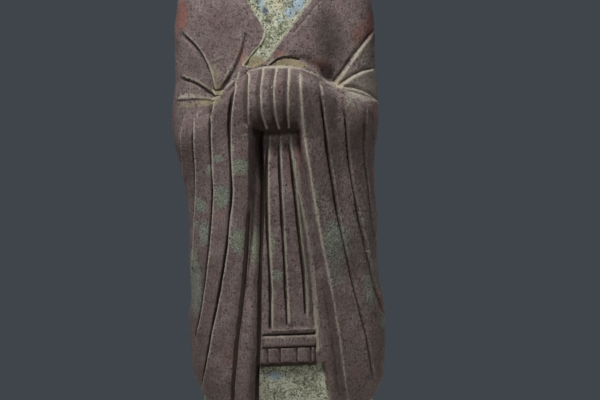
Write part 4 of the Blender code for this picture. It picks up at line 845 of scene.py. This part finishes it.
# The same for creases: how far out in half widths the line lies, how much wider it is, how strong it is on
# the left, where the light falls, and on the right, the painted shade by depth, and the half width from which
# a crease is a hollow without painted shade.
CREASE_LINE, CREASE_LINE_WIDER, CREASE_WEAR_AND_HIGHLIGHT_LEFT, CREASE_WEAR_AND_HIGHLIGHT_RIGHT = 1.4, 1.3, 1.15, 0.6
CREASE_SHADE, WIDE_CREASE = 0.08, 2.5
# Painted shade: low on the right the pale lines lose a share of their strength in two soft steps, below
# FAINT_TOP and over FAINT_HEIGHT.
LOSS_IN_SHADE, FAINT_PLACES, FAINT_WIDTH, FAINT_TOP, FAINT_HEIGHT = 0.65, (22, 34), 5, 150, 50
# The pale line under the arch, wear and painted highlight: how far below, half width, strength, reach to each
# side, and its soft ends.
ARCH_LINE, ARCH_LINE_WIDTH, ARCH_WEAR_AND_HIGHLIGHT, ARCH_LINE_REACH, ARCH_LINE_FADE = 1.2, 0.8, 0.8, 38, 6
# Shade in the deep hollow: the depth where it starts and over what it fills, its strength, and the height
# where it starts and over what it fills. Shade under the hands: how far above and below, and its soft sides.
HOLLOW_START, HOLLOW_WIDTH, HOLLOW_SHADE, HOLLOW_BOTTOM, HOLLOW_HEIGHT = 10.5, 6, 0.7, 130, 60
SHADE_ABOVE, SHADE_BELOW, SHADE_SIDE = 9, 5, 3
# Worn rims of the neck opening, as (place inside its edge, half width), and how softly the left one ends.
RIM_RIGHT, RIM_LEFT, RIM_FADE = (1, 0.9), (0.5, 0.7), 1.5
# Pale lines of the apron's border, worn paint and painted highlight, and its lines of painted shade, as
# (height, half height, strength), and beside each gap of its pleats, as (place, half width, strength).
RIB_WEAR_AND_HIGHLIGHT, BAND_WEAR_AND_HIGHLIGHT = (FRINGE_TOP + 0.3, 0.6, 0.5), (BAND_TOP - 0.9, 0.5, 0.7)
BORDER_SHADE = ((BAND_TOP + 0.4, 0.7, 0.9), (BAND_BOTTOM, 0.6, 0.7), (FRINGE_BOTTOM - 0.4, 1.1, 1.4))
PLEAT_WEAR_AND_HIGHLIGHT, PLEAT_SHADE = (0.8, 0.5, 0.55), (-0.2, 0.6, 0.6)


def waves():
    """The wave vectors, starts and heights of the clay's slow unevenness."""
    draw = np.random.default_rng(WAVE_SEED)
    for length, height in UNEVENNESS:
        for _ in range(WAVES_OF_EACH):
            direction = draw.normal(size=3)
            direction /= np.linalg.norm(direction)
            number = 2 * math.pi / (length * SCALE * draw.uniform(*WAVE_LENGTHS))
            yield direction * number, draw.uniform(*WAVE_STARTS), height


def patch(across, rise, strength):
    """How strongly one patch covers each point, from its distances in half sizes."""
    return strength * np.clip(PATCH_REACH - np.hypot(across, rise), 0, 1)


def patches(table, x, z):
    """How strongly the patches of a table cover each point."""
    cover = np.zeros_like(x)
    for middle_x, middle_z, half_width, half_height, strength in table:
        cover = np.maximum(cover, patch((x - middle_x) / half_width, (z - middle_z) / half_height, strength))
    return cover


def strewn(angle, z):
    """How strongly each of the strewn marks covers each point."""
    draw = np.random.default_rng(STREWN_SEED)
    cover = [np.zeros_like(z) for _ in STREWN_SHARES]
    for i in range(STREWN_COUNT):
        turn, height, half_width, half_height, strength = [draw.uniform(*limits) for limits in STREWN_LIMITS]
        across = (np.mod(angle, 2 * math.pi) - turn) * STREWN_RADIUS
        one = patch(across / half_width, (z - height) / half_height, strength)
        cover[i % len(cover)] = np.maximum(cover[i % len(cover)], one)
    return {name: share * values for (name, share), values in zip(STREWN_SHARES.items(), cover)}


def scratched(x, z):
    """Thin light scratches."""
    cover = np.zeros_like(x)
    for start, end, half_width in SCRATCHES:
        _, across, rise = from_line(x, z, start, end)
        cover = np.maximum(cover, bump(np.hypot(across, rise), half_width))
    return cover


def fold_marks(x, z, lean):
    """Pale lines on the raised edges of the folds and creases, worn paint and painted highlight, and painted
    shade in their grooves.
    """
    worn, groove = np.zeros_like(x), np.zeros_like(x)
    for across, shown, (depth, width, edge, _) in fold_lines(x, z, lean):
        line = bump(across - width, WEAR_AND_HIGHLIGHT_HALF_WIDTH * max(edge, LEAST_EDGE))
        worn = np.maximum(worn, shown * np.clip(edge, 0, 1) * line)
        slot = between(across, -SLOT_LEFT * width, SLOT_RIGHT * width)
        groove = np.maximum(groove, shown * np.clip(SHADE_BY_DEPTH * depth, 0, 1) ** 2 * slot)
    for near, beside, shown, (depth, width, edge) in crease_lines(x, z):
        line = bump(beside - CREASE_LINE * width, CREASE_LINE_WIDER * WEAR_AND_HIGHLIGHT_HALF_WIDTH) * (beside > 0)
        # Stronger on the left, where the light falls: painted highlight as well as wear.
        strength = np.where(x < 0, CREASE_WEAR_AND_HIGHLIGHT_LEFT, CREASE_WEAR_AND_HIGHLIGHT_RIGHT)
        worn = np.maximum(worn, strength * shown * np.clip(edge, 0, 1) ** 2 * line)
        shade = CREASE_SHADE * depth * (width < WIDE_CREASE)
        groove = np.maximum(groove, shown * shade * bump(near, width))
    return worn, groove


def collar_marks(x, z):
    """The slip in the neck opening, and the worn rims at its edges."""
    above = smooth((z - through(COLLAR_FOOT, x)) / EDGE + 0.5)
    left, outer = through(COLLAR_LEFT, z), through(BAND_OUTER, z)
    opening = between(x, left - 0.5 * EDGE, outer + 0.5 * EDGE)
    rim_right = bump(outer - x - RIM_RIGHT[0], RIM_RIGHT[1])
    rim_left = bump(x - left - RIM_LEFT[0], RIM_LEFT[1]) * smooth((LAPEL_TOP - z) / RIM_FADE)
    return above * opening, above * (rim_right + rim_left)


def line_at(at, place, half_width, strength):
    """A soft line."""
    return strength * bump(at - place, half_width)


def fringe_marks(x, z):
    """Pale edges of the apron's lower border, worn paint and painted highlight, and its lines of painted
    shade.
    """
    inside = between(x, fold_x("apron_left", z) + EDGE, fold_x("apron_4", z) + 0.5 * EDGE)
    from_rib = smooth((x - fold_x("apron_1", z)) / EDGE)
    pleats = between(z, FRINGE_BOTTOM, BAND_BOTTOM - 0.5 * EDGE)
    worn = from_rib * line_at(z, *RIB_WEAR_AND_HIGHLIGHT) + line_at(z, *BAND_WEAR_AND_HIGHLIGHT)
    shade = sum(line_at(z, *sizes) for sizes in BORDER_SHADE)
    for gap in PLEAT_GAPS:
        worn = worn + pleats * line_at(x - gap, *PLEAT_WEAR_AND_HIGHLIGHT)
        shade = shade + pleats * line_at(x - gap, *PLEAT_SHADE)
    return inside * worn, inside * shade


def robe_marks(angle, z):
    """Every mark of the robed body."""
    x, y, is_robe, _ = plain_body(angle, z)
    _, _, lean = facing_out(x, y)
    front, seen_x = at_front(angle), x + sway(z)
    middle = between(x, fold_x("apron_left", z), fold_x("apron_right", z))
    skirt = np.maximum(front * middle * smooth((FRINGE_BOTTOM - z) / EDGE), 1.0 - is_robe)
    worn, groove = fold_marks(x, z, lean)
    # Painted shade: the pale lines grow faint low on the right, which lies in shade.
    faint = sum(smooth((x - place) / FAINT_WIDTH) for place in FAINT_PLACES) / len(FAINT_PLACES)
    worn *= 1 - LOSS_IN_SHADE * faint * smooth((FAINT_TOP - z) / FAINT_HEIGHT)
    opening, rims = collar_marks(x, z)
    fringe_worn, fringe_shade = fringe_marks(x, z)
    arch_line = line_at(z - arch(x), -ARCH_LINE, ARCH_LINE_WIDTH, ARCH_WEAR_AND_HIGHLIGHT)
    arch_line *= smooth((ARCH_LINE_REACH - np.abs(x)) / ARCH_LINE_FADE)
    hollow = HOLLOW_SHADE * smooth((recess(x, z) - HOLLOW_START) / HOLLOW_WIDTH)
    hollow *= smooth((z - HOLLOW_BOTTOM) / HOLLOW_HEIGHT)
    under = between(x, fold_x("left_inner", z), fold_x("right_inner", z), SHADE_SIDE, SHADE_SIDE)
    under *= smooth(1 - (z - underside(x)) / SHADE_ABOVE) * smooth((z - UNDER_HANDS) / SHADE_BELOW + 1)

    cover = {name: patches(table, seen_x, z) for name, table in PATCHES.items()}
    # Pale lines and patches: worn paint, with painted highlight on lit edges.
    cover["worn"] += np.maximum(worn * (1 - skirt), arch_line) + fringe_worn + rims + scratched(seen_x, z)
    # Painted shade in the grooves, along the apron's border, in the deep hollow and under the hands.
    cover["groove"] = groove * (1 - skirt) + fringe_shade + np.maximum(hollow, under)
    for name in ("worn", "groove"):
        cover[name] = np.clip(cover[name], 0, 1)
    marks = {name: front * values for name, values in cover.items()}
    marks["slip"] = np.maximum(skirt, front * opening)
    for name, values in strewn(angle, z).items():
        marks[name] = np.maximum(marks[name], values)
    return marks


def stamp(piece, marks):
    """Writes a piece's marks on its points. A mark it doesn't name is 0."""
    for name in (*MARKS, "stamped"):
        layer = piece.data.attributes.new(name, "FLOAT", "POINT")
        values = np.asarray(marks.get(name, float(name == "stamped")), np.float32).ravel()
        values = np.broadcast_to(values, len(piece.data.vertices))
        layer.data.foreach_set("value", np.ascontiguousarray(values))


def evaluated(piece):
    """A new mesh with the piece's modifiers applied."""
    bpy.context.view_layer.update()
    return bpy.data.meshes.new_from_object(piece.evaluated_get(bpy.context.evaluated_depsgraph_get()))


def read_layer(mesh, name):
    """One mark of every point."""
    values = np.zeros(len(mesh.vertices), np.float32)
    mesh.attributes[name].data.foreach_get("value", values)
    return values


def read_points(mesh, field):
    """The places or the normals of every point."""
    values = np.empty(len(mesh.vertices) * 3, np.float32)
    mesh.vertices.foreach_get(field, values)
    return values.reshape(-1, 3)


def fill_seams(mesh):
    """Gives the new points along the joins the marks of their nearest neighbours."""
    known = read_layer(mesh, "stamped") > 0.5
    places = read_points(mesh, "co")
    tree = KDTree(int(known.sum()))
    for index in np.flatnonzero(known).tolist():
        tree.insert(places[index], index)
    tree.balance()
    missing = np.flatnonzero(~known)
    nearest = [tree.find(places[index])[1] for index in missing.tolist()]
    for name in MARKS:
        values = read_layer(mesh, name)
        values[missing] = values[nearest]
        mesh.attributes[name].data.foreach_set("value", values)
    mesh.attributes.remove(mesh.attributes["stamped"])


def press_by_hand(mesh):
    """Moves the points a little in or out along slow waves, except on the flat underside."""
    places, normals = read_points(mesh, "co").astype(float), read_points(mesh, "normal")
    height = sum(lift * np.sin(places @ direction + start) for direction, start, lift in waves())
    height *= SCALE / WAVES_OF_EACH**0.5
    height *= smooth((places[:, 2] / SCALE - PRESS_START) / PRESS_RISE)
    places += normals * height[:, None]
    mesh.vertices.foreach_set("co", places.astype(np.float32).ravel())


def robe():
    """The robed body with all its relief and marks."""
    angle, z = robe_grid(COLUMN_COUNT, ROW_COUNT)
    piece = loft("robe", robe_surface(angle, z))
    stamp(piece, robe_marks(angle, z))
    press_by_hand(piece.data)
    fewer = piece.modifiers.new("fewer faces", "DECIMATE")
    fewer.ratio = TRIANGLE_COUNT / sum(len(face.vertices) - 2 for face in piece.data.polygons)
    fewer.use_collapse_triangulate = True
    thin = evaluated(piece)
    piece.modifiers.clear()
    piece.data = thin
    return piece


def figurine():
    """The whole fired piece as one closed mesh."""
    figure = robe()
    others = (
        (loft("neck", neck_rings(*NECK_COUNTS)), {"slip": 1}),
        (loft("head", head_rings(*HEAD_COUNTS)), {"slip": 1}),
        (loft("mane", mane_rings(*MANE_COUNTS)), {"hair": 1}),
        (loft("ear_left", ear_rings(-1, *EAR_COUNTS)), {"slip": 1}),
        (loft("ear_right", ear_rings(1, *EAR_COUNTS)), {"slip": 1}),
        (loft("base", base_rings(BASE_COUNT)), {"clay": 1}),
        (shoe(-1), {"clay": SHOE_CLAY}), (shoe(1), {"clay": SHOE_CLAY}),
        (eye(-1), {"pupil": 1}), (eye(1), {"pupil": 1}),
    )
    for piece, marks in others:
        stamp(piece, marks)
        press_by_hand(piece.data)
        union = figure.modifiers.new("join " + piece.name, "BOOLEAN")
        union.operation, union.solver, union.object = "UNION", "MANIFOLD", piece
    whole = evaluated(figure)
    fill_seams(whole)
    figure.modifiers.clear()
    figure.data = whole
    figure.name = "figurine"
    for piece, _ in others:
        bpy.data.objects.remove(piece)
    whole.shade_smooth()
    whole.set_sharp_from_angle(angle=SHARP_ANGLE)
    whole.materials.clear()
    whole.materials.append(painted_pottery())
    return figure


# The colours of the paints and of what lies on them, as the light that they give back.
ROBE_DARK, ROBE, ROBE_DUSTY = (0.072, 0.049, 0.046), (0.154, 0.110, 0.105), (0.275, 0.232, 0.217)
ROBE_RED, SLIP, SLIP_PALE = (0.20, 0.083, 0.068), (0.165, 0.175, 0.115), (0.42, 0.425, 0.33)
BLUE, NAVY, YELLOW = (0.27, 0.34, 0.38), (0.06, 0.085, 0.12), (0.45, 0.42, 0.29)
# On the next line, the near-black is painted shade and the pale cream is worn paint with painted highlight.
WEAR_AND_HIGHLIGHT_CREAM, SHADE_COLOUR, SOIL = (0.325, 0.288, 0.235), (0.034, 0.022, 0.016), (0.225, 0.185, 0.115)
GREEN, GREEN_PALE = (0.115, 0.125, 0.095), (0.245, 0.26, 0.215)
HAIR, PUPIL, CLAY = (0.05, 0.042, 0.04), (0.012, 0.011, 0.010), (0.17, 0.15, 0.125)
SPECK = (0.030, 0.026, 0.023)
MM_PER_METRE = 1000.0

# Textures, as (size of the features in millimetres, detail, roughness, how many times as tall as wide), and
# blends of them by share.
TEXTURES = {
    "broad": (34, 3, 0.55, 1), "blotch": (8, 4, 0.55, 1), "mottle": (3, 4, 0.6, 1), "grain": (1.5, 3, 0.6, 1),
    "dust": (0.8, 2, 0.6, 1), "streak": (0.9, 3, 0.6, 5),
}
BLENDS = {
    "fine": (("grain", 0.65), ("mottle", 0.35)),
    "dusty": (("blotch", 0.30), ("dust", 0.45), ("streak", 0.25)),
    "cloudy": (("blotch", 0.3), ("fine", 0.7)),
    "height": (("mottle", 0.5), ("grain", 0.6), ("dust", 0.3)),
}
# What goes by a texture: its low and high value, and what it gives at each.
RAMPS = {
    "robe": ("fine", 0.36, 0.60, 0, 1),
    "dusty": ("dusty", 0.44, 0.70, 0, 0.8), "dull": ("broad", 0.38, 0.68, 0, 0.4),
    "red": ("grain", 0.35, 0.62, 0.35, 1),
    "slip": ("cloudy", 0.42, 0.58, 0, 1), "clay": ("mottle", 0.3, 0.7, 0, 1),
    "green": ("dust", 0.45, 0.62, 0, 1), "painted_shade": ("mottle", 0.3, 0.7, 0.45, 0.85),
    "roughness": ("mottle", 0.3, 0.7, 0.82, 0.96),
}
# How a mark's edge is broken up: by which texture, how widely, and from what strength to what it comes in.
BROKEN_EDGES = {
    "red": ("mottle", 1, 0.3, 1.15), "yellow": ("mottle", 1, 0.25, 1), "blue": ("grain", 1.3, 0.25, 1),
    "navy": ("grain", 1.3, 0.25, 1), "slip": ("mottle", 0.35, 0.38, 0.62),
    "hair": ("mottle", 0.3, 0.38, 0.62),
    "clay": ("mottle", 0.3, 0.38, 0.62), "green": ("fine", 1.7, 0.38, 0.9), "soil": ("fine", 2, 0.3, 1.1),
    "groove": ("grain", 0.5, 0.1, 0.75), "worn": ("grain", 1.2, 0.2, 1.15),
}
# Specks, as (millimetres apart, how rare they are, largest radius, softness of their edge), how strongly they
# colour, how deep they lie, and the strengths of the pale lines, wear and painted highlight, over which those
# of the slip stay away.
PITS, SLIP_SPECKS = (1.9, 0.55, 0.36, 0.1), (1, 0.25, 0.62, 0.2)
PIT_SHARE, PIT_DEPTH, CLEAN_RIM = 0.8, 0.5, (0.2, 0.8)
SPECULAR, BUMP_STRENGTH, BUMP_DISTANCE = 0.25, 0.7, 0.0007


class Shading:
    """Short ways to add nodes to one material."""

    def __init__(self, name):
        self.material = bpy.data.materials.new(name)
        self.material.use_nodes = True
        self.tree = self.material.node_tree
        self.surface = self.tree.nodes["Principled BSDF"]
        self.place = self.add("TexCoord")["Object"]
        self.textures = {name: self.noise(*sizes) for name, sizes in TEXTURES.items()}
        for name, parts in BLENDS.items():
            self.textures[name] = self.blend(parts)

    def join(self, source, socket):
        """Links an output to a socket, or sets the socket to a plain value."""
        if hasattr(source, "is_linked"):
            self.tree.links.new(source, socket)
        else:
            socket.default_value = source

    def add(self, kind, inputs=None, **settings):
        """The outputs of a new node with these inputs and settings."""
        node = self.tree.nodes.new("ShaderNode" + kind)
        for name, value in settings.items():
            setattr(node, name, value)
        for socket, source in (inputs or {}).items():
            self.join(source, node.inputs[socket])
        return node.outputs

    def mark(self, name):
        """What the points wear of one mark."""
        return self.add("Attribute", attribute_name=name)["Fac"]

    def noise(self, size, detail, roughness, tall):
        """Noise with the sizes that TEXTURES lists."""
        squeezed = self.add("VectorMath", {0: self.place, 1: (1, 1, 1 / tall)}, operation="MULTIPLY")[0]
        sizes = {"Vector": squeezed, "Scale": MM_PER_METRE / size, "Detail": detail, "Roughness": roughness}
        return self.add("TexNoise", sizes)["Fac"]

    def math(self, operation, *values):
        """The result of a sum on values or outputs."""
        return self.add("Math", dict(enumerate(values)), operation=operation)[0]

    def blend(self, parts):
        """The sum of textures, each times its share."""
        whole = 0.0
        for name, share in parts:
            whole = self.math("MULTIPLY_ADD", self.textures[name], share, whole)
        return whole

    def ramp(self, value, low, high, bottom=0.0, top=1.0):
        """An even S from bottom at low to top at high."""
        limits = {"Value": value, "From Min": low, "From Max": high, "To Min": bottom, "To Max": top}
        return self.add("MapRange", limits, interpolation_type="SMOOTHSTEP")["Result"]

    def by_texture(self, name):
        """What RAMPS gives for a name."""
        texture, *limits = RAMPS[name]
        return self.ramp(self.textures[texture], *limits)

    def mix(self, share, below, above):
        """A colour that goes from below to above as share grows."""
        below, above = [(*colour, 1.0) if isinstance(colour, tuple) else colour for colour in (below, above)]
        return self.add("Mix", {0: share, 6: below, 7: above}, data_type="RGBA")[2]

    def broken(self, name):
        """A mark with its edge broken up by a texture."""
        texture, spread, low, high = BROKEN_EDGES[name]
        shift = self.math("MULTIPLY", self.math("SUBTRACT", self.textures[texture], 0.5), spread)
        return self.ramp(self.math("ADD", self.mark(name), shift), low, high)

    def specks(self, apart, rarity, largest, softness, share=1.0):
        """Round specks, with a share that their radius is multiplied by."""
        cell = self.add("TexVoronoi", {"Vector": self.place, "Scale": MM_PER_METRE / apart})
        pick = self.add("SeparateColor", {"Color": cell["Color"]})["Red"]
        radius = self.math("MULTIPLY", self.ramp(pick, rarity, 1.0, 0.0, largest), share)
        return self.ramp(self.math("SUBTRACT", radius, cell["Distance"]), 0.0, softness)


def painted_pottery():
    """Fired clay under worn purple-brown paint, pale slip, soil and grey-green growth, with painted shade and
    highlight.
    """
    s = Shading("painted_pottery")
    colour = s.mix(s.by_texture("robe"), ROBE_DARK, ROBE)
    colour = s.mix(s.by_texture("dusty"), colour, ROBE_DUSTY)
    colour = s.mix(s.by_texture("dull"), colour, ROBE_DARK)
    colour = s.mix(s.math("MULTIPLY", s.broken("red"), s.by_texture("red")), colour, ROBE_RED)
    slip = s.mix(s.by_texture("slip"), SLIP, SLIP_PALE)
    for name, paint in (("yellow", YELLOW), ("blue", BLUE), ("navy", NAVY)):
        slip = s.mix(s.broken(name), slip, paint)
    on_slip = s.broken("slip")
    clay = s.mix(s.by_texture("clay"), ROBE_DARK, CLAY)
    green = s.mix(s.by_texture("green"), GREEN, GREEN_PALE)
    colour = s.mix(on_slip, colour, slip)
    # In this loop the near-black is painted shade in grooves and hollows, and the pale cream is worn paint
    # with painted highlight.
    for name, paint in (
        ("hair", HAIR), ("clay", clay), ("green", green), ("soil", SOIL), ("groove", SHADE_COLOUR), ("worn", WEAR_AND_HIGHLIGHT_CREAM),
    ):
        colour = s.mix(s.broken(name), colour, paint)
    # Painted shade where its patches lie, mottled.
    colour = s.mix(s.math("MULTIPLY", s.mark("painted_shade"), s.by_texture("painted_shade")), colour, SHADE_COLOUR)
    colour = s.mix(s.mark("pupil"), colour, PUPIL)
    unworn_slip = s.math("MULTIPLY", on_slip, s.ramp(s.mark("worn"), *CLEAN_RIM, 1.0, 0.0))
    pits = s.math("MAXIMUM", s.specks(*PITS), s.specks(*SLIP_SPECKS, unworn_slip))
    s.join(s.mix(s.math("MULTIPLY", pits, PIT_SHARE), colour, SPECK), s.surface.inputs["Base Color"])
    s.join(s.by_texture("roughness"), s.surface.inputs["Roughness"])
    s.join(0.0, s.surface.inputs["Metallic"])
    s.join(SPECULAR, s.surface.inputs["Specular IOR Level"])
    height = s.math("MULTIPLY_ADD", pits, -PIT_DEPTH, s.textures["height"])
    uneven = s.add("Bump", {"Strength": BUMP_STRENGTH, "Distance": BUMP_DISTANCE, "Height": height})["Normal"]
    s.join(uneven, s.surface.inputs["Normal"])
    return s.material


# The stage: a pale floor, a plain dim room, a soft key light from high up on the left, a weak fill and a
# light from behind, as (name, place, size, power).
FLOOR_SIZE, FLOOR_COLOUR, FLOOR_ROUGHNESS = 1.9, (0.62, 0.61, 0.58, 1.0), 0.9
ROOM_COLOUR = (0.050, 0.060, 0.070, 1.0)
LIGHTS = (
    ("key_light", (-0.16, -0.41, 0.88), 0.20, 8.8),
    ("fill_light", (0.9, -1.1, 0.45), 0.9, 1.0),
    ("back_light", (0.25, 1.0, 0.75), 0.6, 6.0),
)
LIGHT_TARGET = Vector((0.0, 0.0, 0.20))

# The camera looks level along +Y. The photograph is 600 pixels wide, at 1.7 pixels to a millimetre.
CAMERA_DISTANCE, PIXELS_PER_MM, PHOTO_WIDTH = 2.5, 1.7, 600
CAMERA_SENSOR = 36.0
CAMERA_TILT = math.atan(15.1 / 400)  # the photograph leans by 15.1 pixels over its height of 400
VIEW_MIDDLE = (11.14, 172.18)  # where it looks, sideways and up, in millimetres


def floor():
    """The pale floor."""
    bpy.ops.mesh.primitive_plane_add(size=FLOOR_SIZE)
    piece = bpy.context.object
    piece.name = "floor"
    material = bpy.data.materials.new("pale_floor")
    material.use_nodes = True
    surface = material.node_tree.nodes["Principled BSDF"]
    surface.inputs["Base Color"].default_value = FLOOR_COLOUR
    surface.inputs["Roughness"].default_value = FLOOR_ROUGHNESS
    piece.data.materials.append(material)


def soft_light(name, place, size, power):
    """A square light that faces the figure."""
    lamp = bpy.data.lights.new(name, "AREA")
    lamp.size, lamp.energy = size, power
    holder = linked(bpy.data.objects.new(name, lamp))
    holder.location = place
    holder.rotation_euler = (LIGHT_TARGET - Vector(place)).to_track_quat("-Z", "Y").to_euler()


def room():
    """Plain dim surroundings."""
    world = bpy.data.worlds.new("room")
    world.use_nodes = True
    world.node_tree.nodes["Background"].inputs["Color"].default_value = ROOM_COLOUR
    bpy.context.scene.world = world


def camera():
    """The camera, at the photograph's angle."""
    lens = bpy.data.cameras.new("camera")
    lens.sensor_width = CAMERA_SENSOR
    lens.lens = CAMERA_SENSOR * CAMERA_DISTANCE / (PHOTO_WIDTH / PIXELS_PER_MM / MM_PER_METRE)
    holder = linked(bpy.data.objects.new("camera", lens))
    holder.location = (VIEW_MIDDLE[0] / MM_PER_METRE, -CAMERA_DISTANCE, VIEW_MIDDLE[1] / MM_PER_METRE)
    holder.rotation_euler = (math.pi / 2, CAMERA_TILT, 0.0)
    bpy.context.scene.camera = holder


bpy.context.scene.view_settings.view_transform = "Standard"
camera()
room()
floor()
for light in LIGHTS:
    soft_light(*light)

figurine_piece = figurine()
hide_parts("zodiac_figurine")
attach(figurine_piece, "root")
